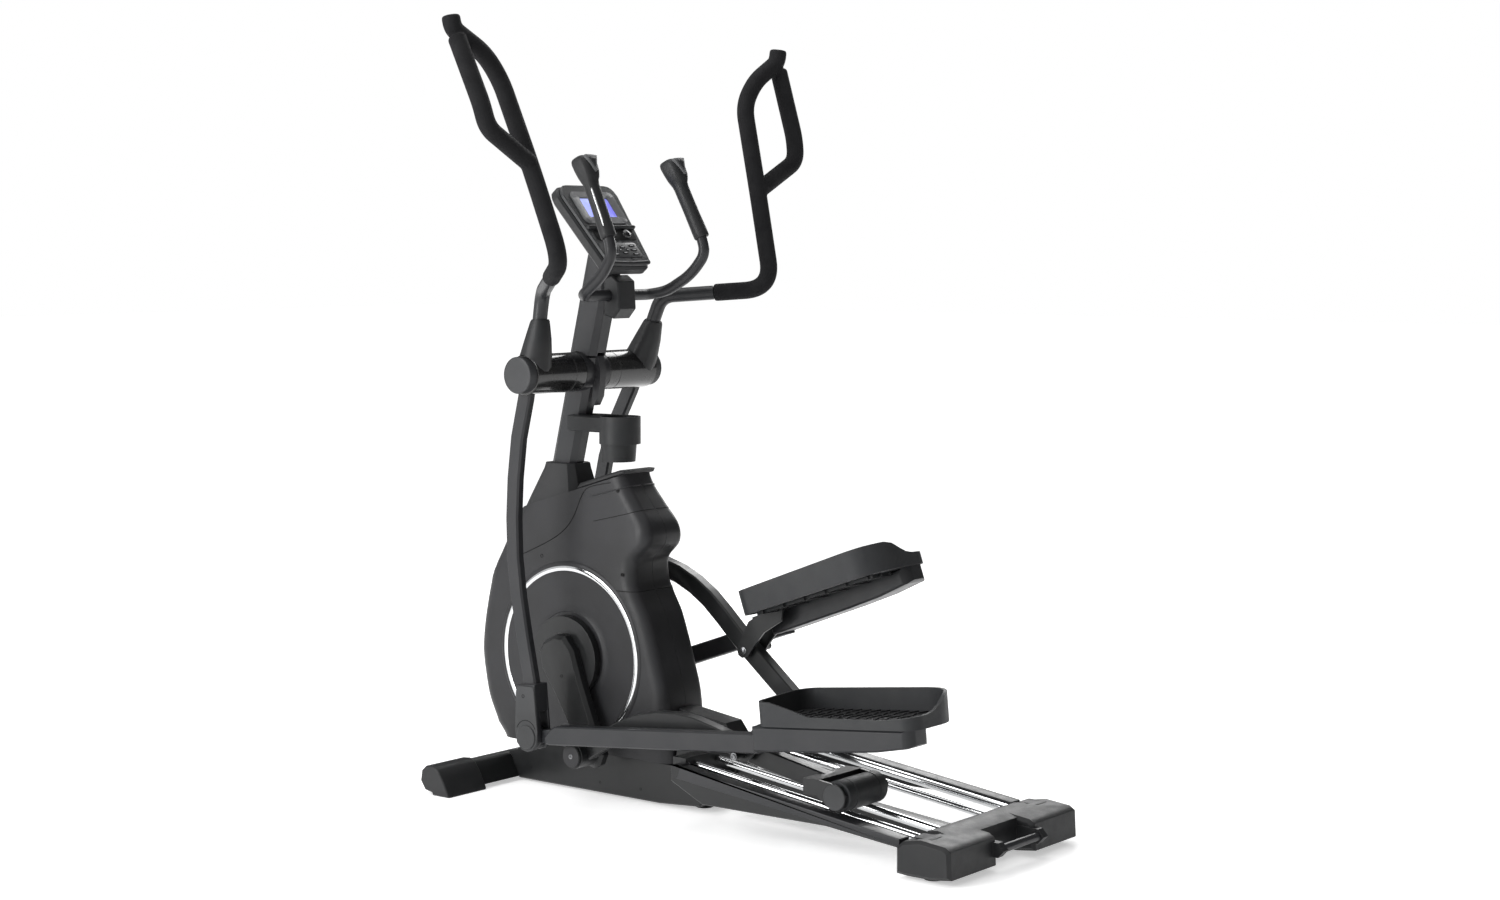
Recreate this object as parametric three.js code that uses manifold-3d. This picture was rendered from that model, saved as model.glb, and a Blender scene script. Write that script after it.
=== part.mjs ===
// Front-drive elliptical trainer. Millimetres, +X to the rider's right, +Y forward, +Z up.
// Built around the swing-arm axis (y = 0, z = ARM_AXIS_Z) over the floor z = 0.
import * as THREE from 'three';
import { mergeVertices } from 'three/addons/utils/BufferGeometryUtils.js';
import Module from 'manifold-3d';

const wasm = await Module();
wasm.setup();

// ---------------------------------------------------------------- driving dimensions
const GAP = 0.3;
const RAD = Math.PI / 180;

const ARM_AXIS_Z = 960;
const SWING_R = 806;
const CRANK = { y: -17, z: 314, r: 223 };
const CRANK_ANGLE = -117 * RAD;
const ROD_LENGTH = 749.5;
const FOOT_PIVOT_ON_ROD = { along: 266.5, up: 54.5 };
const FOOT_PIVOT_DIST = 574.5;
const FOOT_TILT = 2.8 * RAD;

const RAIL_SLOPE = 7.16 * RAD;
const RAIL_REF = { y: -733.5, z: 106 };
const RAIL_R = 9;
const RAIL_X = [88, 164];
const RAIL_FRONT_Y = -461;
const RAIL_REAR_Y = -1058;
const ROLLER_R = 33;
const ROLLER_GAP = 2.4;

const HUB_R = 45;
const HUB_INNER_X = 40;
const HUB_OUTER_X = 221;
const AXLE_R = 12;
const MAST_LEAN = 14 * RAD;
const HOUSING_WALL = 4;

// lateral planes, all measured outward from the middle
const CRANK_X = [90, 122];
const ROD_X = [128, 158];
const FOOT_X = [186, 220];
const PEDAL_X = [38, 225];

const railZ = (y) => RAIL_REF.z + Math.tan(RAIL_SLOPE) * (y - RAIL_REF.y);
const rollerZ = (y) => railZ(y) + (ROLLER_R + RAIL_R + ROLLER_GAP) / Math.cos(RAIL_SLOPE);

// ---------------------------------------------------------------- linkage in the built pose
function circleMeet(a, ra, b, rb, side) {
  const d = Math.hypot(b.y - a.y, b.z - a.z);
  const k = (ra * ra - rb * rb + d * d) / (2 * d);
  const h = Math.sqrt(ra * ra - k * k) * side;
  const u = { y: (b.y - a.y) / d, z: (b.z - a.z) / d };
  return { y: a.y + u.y * k - u.z * h, z: a.z + u.z * k + u.y * h };
}

function linkagePose(angle) {
  const pin = { y: CRANK.y + CRANK.r * Math.cos(angle), z: CRANK.z + CRANK.r * Math.sin(angle) };
  let y = pin.y - ROD_LENGTH;
  for (let i = 0; i < 40; i += 1) {
    y = pin.y - Math.sqrt(ROD_LENGTH ** 2 - (pin.z - rollerZ(y)) ** 2);
  }
  const roller = { y, z: rollerZ(y) };
  const rodAngle = Math.atan2(pin.z - roller.z, pin.y - roller.y);
  const c = Math.cos(rodAngle);
  const s = Math.sin(rodAngle);
  const { along, up } = FOOT_PIVOT_ON_ROD;
  const foot = { y: roller.y + along * c - up * s, z: roller.z + along * s + up * c };
  const joint = circleMeet({ y: 0, z: ARM_AXIS_Z }, SWING_R, foot, FOOT_PIVOT_DIST, 1);
  const armAngle = Math.atan2(joint.y, ARM_AXIS_Z - joint.z);
  const footAngle = -(Math.atan2(foot.z - joint.z, joint.y - foot.y) + FOOT_TILT);
  return { pin, roller, rodAngle, foot, joint, armAngle, footAngle };
}

const POSE = {
  left: linkagePose(CRANK_ANGLE),
  right: linkagePose(CRANK_ANGLE + Math.PI),
};

// ---------------------------------------------------------------- materials
const FINISH = {
  coat: { color: 0x1d1e20, roughness: 0.55, metalness: 0.35 },
  tube: { color: 0x26272a, roughness: 0.48, metalness: 0.4 },
  plastic: { color: 0x1a1b1d, roughness: 0.6, metalness: 0.0 },
  shell: { color: 0x222325, roughness: 0.62, metalness: 0.0 },
  pedal: { color: 0x2b2c2e, roughness: 0.66, metalness: 0.0 },
  rubber: { color: 0x0f0f10, roughness: 0.88, metalness: 0.0 },
  foam: { color: 0x17181a, roughness: 0.93, metalness: 0.0 },
  chrome: { color: 0xc9cbcd, roughness: 0.16, metalness: 1.0 },
  steel: { color: 0x8d9094, roughness: 0.38, metalness: 0.9 },
  iron: { color: 0x4a4c4f, roughness: 0.5, metalness: 0.85 },
  glass: { color: 0x5a63c8, roughness: 0.14, metalness: 0.0 },
  face: { color: 0x121315, roughness: 0.32, metalness: 0.0 },
};

function makeMaterial(name) {
  return new THREE.MeshStandardMaterial(FINISH[name]);
}

// ---------------------------------------------------------------- solid helpers
function bare(geometry) {
  const g = geometry.clone();
  for (const key of ['normal', 'uv', 'color']) g.deleteAttribute(key);
  return mergeVertices(g, 1e-4);
}

function signedVolume(g) {
  const p = g.attributes.position.array;
  const id = g.index.array;
  let v = 0;
  for (let i = 0; i < id.length; i += 3) {
    const [a, b, c] = [id[i] * 3, id[i + 1] * 3, id[i + 2] * 3];
    v += p[a] * (p[b + 1] * p[c + 2] - p[b + 2] * p[c + 1]);
    v += p[a + 1] * (p[b + 2] * p[c] - p[b] * p[c + 2]);
    v += p[a + 2] * (p[b] * p[c + 1] - p[b + 1] * p[c]);
  }
  return v / 6;
}

function faceOut(geometry) {
  const g = bare(geometry);
  if (signedVolume(g) > 0) return g;
  const id = g.index.array;
  for (let i = 0; i < id.length; i += 3) {
    const keep = id[i + 1];
    id[i + 1] = id[i + 2];
    id[i + 2] = keep;
  }
  return g;
}

function toManifold(geometry) {
  const g = faceOut(geometry);
  return new wasm.Manifold(new wasm.Mesh({
    numProp: 3,
    vertProperties: new Float32Array(g.attributes.position.array),
    triVerts: new Uint32Array(g.index.array),
  }));
}

function fromManifold(solid) {
  const mesh = solid.getMesh();
  const g = new THREE.BufferGeometry();
  g.setAttribute('position', new THREE.BufferAttribute(new Float32Array(mesh.vertProperties), 3));
  g.setIndex(new THREE.BufferAttribute(new Uint32Array(mesh.triVerts), 1));
  g.computeVertexNormals();
  return g;
}

const unite = (...parts) => fromManifold(parts.map(toManifold).reduce((a, b) => a.add(b)));
const cut = (body, ...tools) => fromManifold(
  tools.map(toManifold).reduce((a, b) => a.subtract(b), toManifold(body)),
);
const common = (a, b) => fromManifold(toManifold(a).intersect(toManifold(b)));

function outline(points) {
  return new THREE.Shape(points.map(([a, b]) => new THREE.Vector2(a, b)));
}

function extrude(shape, depth, bevel) {
  return new THREE.ExtrudeGeometry(shape, {
    depth: depth - 2 * bevel,
    bevelEnabled: bevel > 0,
    bevelThickness: bevel,
    bevelSize: bevel,
    bevelOffset: -bevel,
    bevelSegments: 1,
    curveSegments: 4,
  }).translate(0, 0, bevel);
}

// a (y, z) outline drawn out along X between x0 and x1
function slabX(points, x0, x1, bevel = 0) {
  const shape = points instanceof THREE.Shape ? points : outline(points);
  const m = new THREE.Matrix4().makeBasis(
    new THREE.Vector3(0, 1, 0), new THREE.Vector3(0, 0, 1), new THREE.Vector3(1, 0, 0),
  );
  return extrude(shape, x1 - x0, bevel).applyMatrix4(m).translate(x0, 0, 0);
}

// an (x, y) outline drawn up between z0 and z1
function slabZ(points, z0, z1, bevel = 0) {
  const shape = points instanceof THREE.Shape ? points : outline(points);
  return extrude(shape, z1 - z0, bevel).translate(0, 0, z0);
}

function box(x, y, z) {
  return new THREE.BoxGeometry(x[1] - x[0], y[1] - y[0], z[1] - z[0])
    .translate((x[0] + x[1]) / 2, (y[0] + y[1]) / 2, (z[0] + z[1]) / 2);
}

function rod(p, q, r, sides = 24, r2 = r) {
  const a = new THREE.Vector3(...p);
  const b = new THREE.Vector3(...q);
  const g = new THREE.CylinderGeometry(r2, r, a.distanceTo(b), sides);
  const turn = new THREE.Quaternion().setFromUnitVectors(
    new THREE.Vector3(0, 1, 0), b.clone().sub(a).normalize(),
  );
  const mid = a.clone().add(b).multiplyScalar(0.5);
  return g.applyQuaternion(turn).translate(mid.x, mid.y, mid.z);
}

const axleX = (x0, x1, y, z, r, sides = 20) => rod([x0, y, z], [x1, y, z], r, sides);

// straight runs joined by rounded corners
function bentPath(points, bend) {
  const v = points.map((p) => new THREE.Vector3(...p));
  const path = new THREE.CurvePath();
  let from = v[0];
  for (let i = 1; i < v.length - 1; i += 1) {
    const back = v[i - 1].clone().sub(v[i]);
    const on = v[i + 1].clone().sub(v[i]);
    const trim = Math.min(bend, back.length() * 0.48, on.length() * 0.48);
    const a = v[i].clone().add(back.setLength(trim));
    const b = v[i].clone().add(on.setLength(trim));
    path.add(new THREE.LineCurve3(from, a));
    path.add(new THREE.QuadraticBezierCurve3(a, v[i], b));
    from = b;
  }
  path.add(new THREE.LineCurve3(from, v[v.length - 1]));
  return path;
}

function bentTube(points, r, bend, steps, sides = 12) {
  const ring = Array.from({ length: sides }, (_, i) => {
    const t = (i / sides) * 2 * Math.PI;
    return [r * Math.cos(t), r * Math.sin(t)];
  });
  return new THREE.ExtrudeGeometry(outline(ring), {
    steps, bevelEnabled: false, extrudePath: bentPath(points, bend),
  });
}

// a closed skin over equal-length rings of points, capped at both ends
function loft(rings) {
  const n = rings[0].length;
  const pos = rings.flat(2);
  const idx = [];
  for (let r = 0; r < rings.length - 1; r += 1) {
    for (let i = 0; i < n; i += 1) {
      const a = r * n + i;
      const b = r * n + ((i + 1) % n);
      idx.push(a, b, b + n, a, b + n, a + n);
    }
  }
  const last = (rings.length - 1) * n;
  for (let i = 1; i < n - 1; i += 1) {
    idx.push(0, i + 1, i);
    idx.push(last, last + i, last + i + 1);
  }
  const g = new THREE.BufferGeometry();
  g.setAttribute('position', new THREE.Float32BufferAttribute(pos, 3));
  g.setIndex(idx);
  return g;
}

// a level ring with cut corners: half width w, from y0 to y1, corner sizes cw (x) by cy (y)
function levelRing(z, y0, y1, w, cw, cy) {
  return [
    [-w, y0 + cy, z], [-w + cw, y0, z], [w - cw, y0, z], [w, y0 + cy, z],
    [w, y1 - cy, z], [w - cw, y1, z], [-w + cw, y1, z], [-w, y1 - cy, z],
  ];
}

function roundedRect(a0, a1, b0, b1, r) {
  const s = new THREE.Shape();
  s.moveTo(a0 + r, b0);
  s.lineTo(a1 - r, b0);
  s.absarc(a1 - r, b0 + r, r, -Math.PI / 2, 0, false);
  s.lineTo(a1, b1 - r);
  s.absarc(a1 - r, b1 - r, r, 0, Math.PI / 2, false);
  s.lineTo(a0 + r, b1);
  s.absarc(a0 + r, b1 - r, r, Math.PI / 2, Math.PI, false);
  s.lineTo(a0, b0 + r);
  s.absarc(a0 + r, b0 + r, r, Math.PI, 1.5 * Math.PI, false);
  return s;
}

// a pedal seen from above: outer corners rounded by r, the inner rear one by rBig
function pedalPlan(x0, x1, y0, y1, r, rBig) {
  const s = new THREE.Shape();
  s.moveTo(x0 + rBig, y0);
  s.lineTo(x1 - r, y0);
  s.absarc(x1 - r, y0 + r, r, -Math.PI / 2, 0, false);
  s.lineTo(x1, y1 - r);
  s.absarc(x1 - r, y1 - r, r, 0, Math.PI / 2, false);
  s.lineTo(x0 + r, y1);
  s.absarc(x0 + r, y1 - r, r, Math.PI / 2, Math.PI, false);
  s.lineTo(x0, y0 + rBig);
  s.absarc(x0 + rBig, y0 + rBig, rBig, Math.PI, 1.5 * Math.PI, false);
  return s;
}

// a bar in a (y, z) plane: a centre line thickened to h
function barOutline(line, h) {
  const top = [];
  const low = [];
  line.forEach(([y, z], i) => {
    const [py, pz] = line[Math.max(i - 1, 0)];
    const [qy, qz] = line[Math.min(i + 1, line.length - 1)];
    const d = Math.hypot(qy - py, qz - pz);
    const ny = (-(qz - pz) / d) * h * 0.5;
    const nz = ((qy - py) / d) * h * 0.5;
    top.push([y + ny, z + nz]);
    low.unshift([y - ny, z - nz]);
  });
  return [...top, ...low];
}

// ---------------------------------------------------------------- scene tree
const root = new THREE.Group();
root.name = 'elliptical_trainer';
const machine = new THREE.Group();
root.add(machine);

function piece(group, name, geometry, finish) {
  const mesh = new THREE.Mesh(faceOut(geometry), makeMaterial(finish));
  mesh.geometry.computeVertexNormals();
  mesh.name = name;
  group.add(mesh);
  return mesh;
}

// geometry drawn for the right side, with x outward; the left side is its mirror image
function sidePiece(group, side, name, geometry, finish) {
  const g = side === 'left' ? bare(geometry).scale(-1, 1, 1) : geometry;
  return piece(group, `${name}_${side}`, g, finish);
}

function sideGroup(y, z, turn) {
  const group = new THREE.Group();
  group.position.set(0, y, z);
  group.rotation.x = turn;
  machine.add(group);
  return group;
}

// ---------------------------------------------------------------- base and rails
const STABILIZER_PROFILE = [
  [168, 9], [222, 9], [238, 18], [245, 34], [242, 50], [230, 61], [210, 63], [197, 56], [182, 36],
];

const stabilizerOutline = (k) => STABILIZER_PROFILE.map(
  ([y, z]) => [206 + (y - 206) * k, 36 + (z - 36) * k],
);

function buildBase() {
  const side = [
    [170, 6], [185, 30], [192, 52], [205, 66], [175, 74], [140, 92], [120, 99.7], [-302.6, 99.7],
    [-312, 135], [-372, 142], [-408, 104], [-400, 50], [-378, 14], [-260, 6],
  ];
  const body = slabX(side, -50, 50, 3);
  const spine = slabX([
    [-302.6, 60], [-302.6, 223], [-330, 219], [-434, 205], [-464, 168], [-464, 98], [-400, 60],
  ], -30, 30, 2);
  const crossbeam = box([-196, 196], [RAIL_FRONT_Y + GAP, -425], [98, 158]);
  const beam = slabX([
    [-425, 110], [RAIL_REAR_Y + GAP, 50], [RAIL_REAR_Y + GAP, 20], [-425, 62],
  ], -22, 22);
  const bars = [-1, 1].map((s) => slabX([
    [-440, 112], [-440, 146], [-461, 146], [-1034.7, 74], [-1034.7, 56], [-850, 74], [-526, 72],
  ], s < 0 ? -222 : 190, s < 0 ? -190 : 222, 2));
  const mastPost = slabX([[118, 95], [200, 88], [193, 329], [120, 329]], -24, 24);
  const tower = slabX([
    [-70, 95], [30, 95], [8, 330], [66, 507], [62, 534], [38, 534], [-50, 345],
  ], -20, 20);
  const frame = unite(body, spine, crossbeam, beam, ...bars, mastPost, tower);
  const stabilizerNotch = slabX(stabilizerOutline(1.02), -60, 60);
  piece(machine, 'base_frame', cut(
    frame,
    axleX(-30, 30, CRANK.y, CRANK.z, 14.4),
    axleX(-30, 30, FLYWHEEL.y, FLYWHEEL.z, 8.4),
    stabilizerNotch,
  ), 'coat');
}

function buildStabilizer() {
  piece(machine, 'front_stabilizer', slabX(stabilizerOutline(0.985), -165, 165), 'coat');
  for (const side of ['left', 'right']) {
    const shell = slabX(
      [[160, 0], [212, 0], [214, 6], [236, 10], [250, 30], [246, 54], [232, 66], [210, 68],
        [194, 60], [177, 36], [161, 6]],
      165.3, 290, 3,
    );
    const wheelWell = box([236, 266], [214, 256], [-2, 34]);
    sidePiece(machine, side, 'front_cap', cut(shell, wheelWell), 'plastic');
    sidePiece(machine, side, 'transport_wheel', unite(
      axleX(240, 262, 232, 17, 15, 20), axleX(236.4, 265.6, 232, 17, 3.5, 12),
    ), 'rubber');
  }
}

function buildRails() {
  const ends = { outer: RAIL_X[1], inner: RAIL_X[0] };
  for (const side of ['left', 'right']) {
    for (const [label, x] of Object.entries(ends)) {
      sidePiece(machine, side, `rail_${label}`, rod(
        [x, RAIL_FRONT_Y - 0.9, railZ(RAIL_FRONT_Y - 0.9)],
        [x, RAIL_REAR_Y + 1.4, railZ(RAIL_REAR_Y + 1.4)], RAIL_R, 16,
      ), 'chrome');
    }
  }
}

function buildRearCover() {
  const lobe = (s) => slabX([
    [-1035, 10], [-1035, 62], [-1050, 76], [-1092, 84], [-1150, 78], [-1163, 70], [-1166, 14],
    [-1120, 8], [-1060, 8],
  ], s < 0 ? -240 : 68, s < 0 ? -68 : 240, 7);
  const bridge = slabX([
    [RAIL_REAR_Y, 28], [RAIL_REAR_Y, 84], [-1082, 88], [-1122, 78], [-1126, 28],
  ], -160, 160);
  const ears = [-1, 1].map((s) => slabX([
    [-1120, 30], [-1120, 64], [-1176, 62], [-1190, 47], [-1176, 32],
  ], s < 0 ? -84 : 66, s < 0 ? -66 : 84));
  const shape = unite(lobe(-1), lobe(1), bridge, ...ears);
  piece(machine, 'rear_cover', cut(
    shape,
    axleX(-79, 79, -1174, 47, 9.3, 20),
    ...[-RAIL_X[1], -RAIL_X[0], RAIL_X[0], RAIL_X[1]].map((x) => rod(
      [x, -1020, railZ(-1020)], [x, RAIL_REAR_Y - 1, railZ(RAIL_REAR_Y - 1)], RAIL_R + 0.5, 16,
    )),
  ), 'plastic');
  piece(machine, 'lift_rod', axleX(-78.7, 78.7, -1174, 47, 9, 20), 'steel');
}

function buildFeet() {
  const pad = (x, y, top) => unite(
    rod([x, y, 0], [x, y, 6], 20, 20),
    rod([x, y, 5], [x, y, top], 9, 16),
  );
  piece(machine, 'rear_foot_left', pad(-197, -1099, 7.7), 'rubber');
  piece(machine, 'rear_foot_right', pad(197, -1099, 7.7), 'rubber');
  piece(machine, 'centre_foot', pad(8, -345, 8.6), 'rubber');
}

// ---------------------------------------------------------------- mast and console
const mastY = (z) => -Math.tan(MAST_LEAN) * (z - ARM_AXIS_Z);

function mastTube(z0, z1, w, d) {
  return loft([z0, z1].map((z) => levelRing(z, mastY(z) - d / 2, mastY(z) + d / 2, w, 10, 14)));
}

function buildMast() {
  const crossTube = axleX(-39.5, 39.5, 0, ARM_AXIS_Z, HUB_R, 24);
  const axle = axleX(-219, 219, 0, ARM_AXIS_Z, AXLE_R, 24);
  const lower = mastTube(329.3, 992, 22, 74);
  const guard = slabX([
    [-20, 1003], [-50, 996], [-57, 960], [-50, 905], [-38, 884], [-30, 884], [-34, 940], [-10, 990],
  ], -10, 10);
  piece(machine, 'mast', unite(lower, crossTube, axle, guard), 'tube');

  const seat = axleX(-60, 60, 0, ARM_AXIS_Z, HUB_R + 0.4, 24);
  const upper = cut(
    mastTube(996, 1226, 26, 80), seat,
    mastTube(900, 992.4, 22.4, 74.8), slabX([[-70, 900], [-5, 900], [-5, 1003.4], [-70, 1003.4]], -11, 11),
  );
  piece(machine, 'upper_mast', upper, 'tube');
}

// top line of the housing, falling toward the front
const housingTopZ = (y) => 733 - 0.3 * (y + 150);

function buildCollar() {
  const skin = loft([
    levelRing(620, -34, 166, 56, 18, 22),
    levelRing(668, -16, 140, 52, 18, 20),
    levelRing(735, 4, 104, 40, 14, 16),
    levelRing(750, 8, 98, 38, 12, 16),
  ]);
  const below = slabX([
    [-250, 0], [-250, housingTopZ(-250) + GAP], [250, housingTopZ(250) + GAP], [250, 0],
  ], -90, 90);
  piece(machine, 'mast_collar', cut(skin, mastTube(500, 800, 22.4, 74.8), below), 'plastic');
}

const CONSOLE = { y: -72, z: 1292, tilt: 38.5 * RAD, thick: 34 };

// local frame of the console: x right, y up the face, z out of the face toward the rider
function consoleGroup() {
  const group = new THREE.Group();
  group.position.set(0, CONSOLE.y, CONSOLE.z);
  group.rotation.x = Math.PI / 2 - CONSOLE.tilt;
  machine.add(group);
  return group;
}

function buildConsole() {
  const g = consoleGroup();
  const plate = (w0, w1, len, r) => {
    const s = new THREE.Shape();
    const h = len / 2;
    s.moveTo(-w0 + r, -h);
    s.lineTo(w0 - r, -h);
    s.quadraticCurveTo(w0, -h, w0 + 1, -h + r);
    s.lineTo(w1, h - r * 1.6);
    s.quadraticCurveTo(w1 - 2, h, w1 - r * 1.4, h);
    s.lineTo(-w1 + r * 1.4, h);
    s.quadraticCurveTo(-w1 + 2, h, -w1, h - r * 1.6);
    s.lineTo(-w0 - 1, -h + r);
    s.quadraticCurveTo(-w0, -h, -w0 + r, -h);
    return s;
  };
  const shell = slabZ(plate(74, 96, 236, 22), -CONSOLE.thick, -8.3, 5);
  const backNeck = slabZ(roundedRect(-32, 32, -96, 40, 12), -62, -CONSOLE.thick + 4, 2);
  const mastCut = mastTube(900, 1226.4, 26.4, 80.8)
    .translate(0, -CONSOLE.y, -CONSOLE.z)
    .rotateX(-(Math.PI / 2 - CONSOLE.tilt));
  piece(g, 'console_back', cut(unite(shell, backNeck), mastCut), 'plastic');
  const face = slabZ(plate(70, 91, 226, 20), -8, 2, 2);
  const window = slabZ(roundedRect(-56, 56, 12, 82, 8), -1.2, 6);
  const keyRecess = slabZ(roundedRect(-52, 52, -96, -52, 8), -1.2, 6);
  piece(g, 'console_face', cut(face, window, keyRecess), 'face');
  piece(g, 'console_display', slabZ(roundedRect(-55.7, 55.7, 12.3, 81.7, 7.7), -0.9, 1.2), 'glass');
  piece(g, 'console_keypad', slabZ(roundedRect(-51, 51, -95, -53, 7.5), 0.8, 3.2, 0.8), 'plastic');
}

// ---------------------------------------------------------------- fixed handlebar
const BAR = [
  [0, -98, 1134], [112, -98, 1134], [140, -128, 1142], [152, -190, 1180], [159, -226, 1228],
  [158, -212, 1272],
];
const GRIP_TOP = [149, -137, 1424];

function buildFixedBar() {
  const half = BAR.slice(1);
  const full = [...half.map(([x, y, z]) => [-x, y, z]).reverse(), ...half];
  piece(machine, 'fixed_bar', bentTube(full, 12.5, 40, 30, 8), 'tube');
  const clamp = slabX([
    [-84, 1090], [-84, 1172], [-108, 1180], [-128, 1166], [-132, 1104], [-112, 1082],
  ], -30, 30, 4);
  const mast = mastTube(900, 1226, 26.4, 80.8);
  piece(machine, 'bar_clamp', cut(clamp, axleX(-60, 60, -98, 1134, 12.9, 20), mast), 'plastic');
  const a = new THREE.Vector3(...BAR[BAR.length - 1]);
  const b = new THREE.Vector3(...GRIP_TOP);
  const along = b.clone().sub(a).normalize();
  const start = a.clone().addScaledVector(along, -10);
  const barRoom = bentTube(full, 13, 40, 30, 8);
  for (const side of ['left', 'right']) {
    const head = loft([0, 16, 48, 57].map((d, i) => {
      const w = [17, 25, 24, 16][i];
      const c = b.clone().addScaledVector(along, d - 41);
      const u = new THREE.Vector3(1, 0, 0);
      const v = along.clone().cross(u).normalize();
      return Array.from({ length: 8 }, (_, k) => {
        const t = (k / 8) * 2 * Math.PI + Math.PI / 8;
        const p = c.clone().addScaledVector(u, w * Math.cos(t) * 0.9).addScaledVector(v, w * Math.sin(t));
        return [p.x, p.y, p.z];
      });
    }));
    const shaft = rod(start.toArray(), b.toArray(), 16.5, 16, 15.5);
    const well = b.clone().addScaledVector(along, -8);
    const rear = new THREE.Vector3(0, -along.z, along.y).normalize();
    const outer = well.clone().addScaledVector(rear, 30);
    const innerEnd = well.clone().addScaledVector(rear, 12);
    const sleeveIn = a.clone().addScaledVector(along, -1).toArray();
    const sleeveOut = a.clone().addScaledVector(along, 1).toArray();
    const grip = cut(
      unite(shaft, head), rod(innerEnd.toArray(), outer.toArray(), 8.4, 20), barRoom,
      rod(sleeveIn, sleeveOut, 13, 16),
    );
    sidePiece(machine, side, 'pulse_grip', grip, 'plastic');
    const keyIn = well.clone().addScaledVector(rear, 15);
    const keyOut = well.clone().addScaledVector(rear, 25.5);
    sidePiece(machine, side, 'thumb_button', rod(keyIn.toArray(), keyOut.toArray(), 8, 20), 'plastic');
  }
}

function buildBottleHolder() {
  const cup = { y: -106, r: 47 };
  const body = unite(
    rod([0, cup.y, 800], [0, cup.y, 862], cup.r, 24),
    rod([0, cup.y + 4, 760], [0, cup.y + 4, 801], 38, 24, 41),
    slabZ([[-40, cup.y], [-44, -30], [-36, 22], [36, 22], [44, -30], [40, cup.y]], 826, 862, 3),
  );
  const hollow = unite(
    rod([0, cup.y, 806], [0, cup.y, 870], cup.r - 5, 24),
    rod([0, cup.y + 4, 766], [0, cup.y + 4, 810], 33, 24, 36),
  );
  const guard = box([-12, 12], [-60, 0], [800, 1010]);
  piece(machine, 'bottle_holder', cut(body, hollow, mastTube(700, 992, 22.4, 74.8), guard), 'plastic');
}

// ---------------------------------------------------------------- drive and housing
const HOUSING_LEVELS = [
  [100, -302, 212, 62], [135, -302, 232, 68], [199, -300, 254, 75], [254, -294, 266, 75],
  [304, -280, 272, 75], [367, -261, 266, 75], [425, -240, 254, 75], [477, -212, 241, 75],
  [500, -203, 231, 74], [545, -204, 207, 72], [583, -238, 187, 70], [622, -238, 165, 66],
  [665, -205, 138, 62], [712, -170, 116, 58], [752, -156, 104, 56],
];

function housingSkin(inset, bottom) {
  const rings = HOUSING_LEVELS.map(([z, y0, y1, w]) => levelRing(
    z, y0 + inset, y1 - inset, w - inset, 26 - inset * 0.5, 34 - inset * 0.5,
  ));
  rings[0].forEach((p) => { p[2] = bottom; });
  return loft(rings);
}

function aboveTop(drop) {
  return slabX([
    [-300, housingTopZ(-300) - drop], [300, housingTopZ(300) - drop], [300, 900], [-300, 900],
  ], -120, 120);
}

function buildHousing() {
  const outer = cut(housingSkin(0, 100), aboveTop(0));
  const inner = cut(housingSkin(HOUSING_WALL, 60), aboveTop(HOUSING_WALL));
  const openings = [
    inner,
    axleX(-90, 90, CRANK.y, CRANK.z, 20),
    mastTube(320, 800, 22.6, 75.2),
  ];
  const whole = cut(outer, ...openings);
  for (const [side, x0, x1] of [['left', -120, -GAP / 2], ['right', GAP / 2, 120]]) {
    piece(machine, `housing_${side}`, common(whole, box([x0, x1], [-400, 400], [50, 800])), 'shell');
  }
  const lift = (y, dz) => [y, housingTopZ(y) + dz];
  const lid = slabX([
    lift(-162, GAP), lift(-166, 8), lift(-150, 13), lift(-30, 13), lift(-18, GAP),
  ], -55, 55, 4);
  const collarRoom = loft([
    levelRing(620, -35, 167, 57, 18, 22),
    levelRing(668, -17, 141, 53, 18, 20),
    levelRing(735, 3, 105, 41, 14, 16),
    levelRing(760, 3, 105, 41, 14, 16),
  ]);
  piece(machine, 'housing_top', cut(lid, collarRoom), 'plastic');
}

function ringOutline(y, z, r, sides) {
  return Array.from({ length: sides }, (_, i) => {
    const t = (i / sides) * 2 * Math.PI;
    return [y + r * Math.cos(t), z + r * Math.sin(t)];
  });
}

const FLYWHEEL = { y: 50, z: 520, r: 108, pulley: 24 };
const DRIVE_X = [-40, -28];
const PULLEY_R = 146;

// belt wrapped round two discs: outline at a distance off both rims
function beltOutline(off) {
  const a = { y: CRANK.y, z: CRANK.z, r: PULLEY_R + off };
  const b = { y: FLYWHEEL.y, z: FLYWHEEL.z, r: FLYWHEEL.pulley + off };
  const d = Math.hypot(b.y - a.y, b.z - a.z);
  const dir = Math.atan2(b.z - a.z, b.y - a.y);
  const open = Math.acos((a.r - b.r) / d);
  const arc = (c, from, to, n) => Array.from({ length: n + 1 }, (_, i) => {
    const t = from + ((to - from) * i) / n;
    return [c.y + c.r * Math.cos(t), c.z + c.r * Math.sin(t)];
  });
  return [
    ...arc(b, dir - open, dir + open, 10),
    ...arc(a, dir + open, dir + 2 * Math.PI - open, 30),
  ];
}

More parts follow.
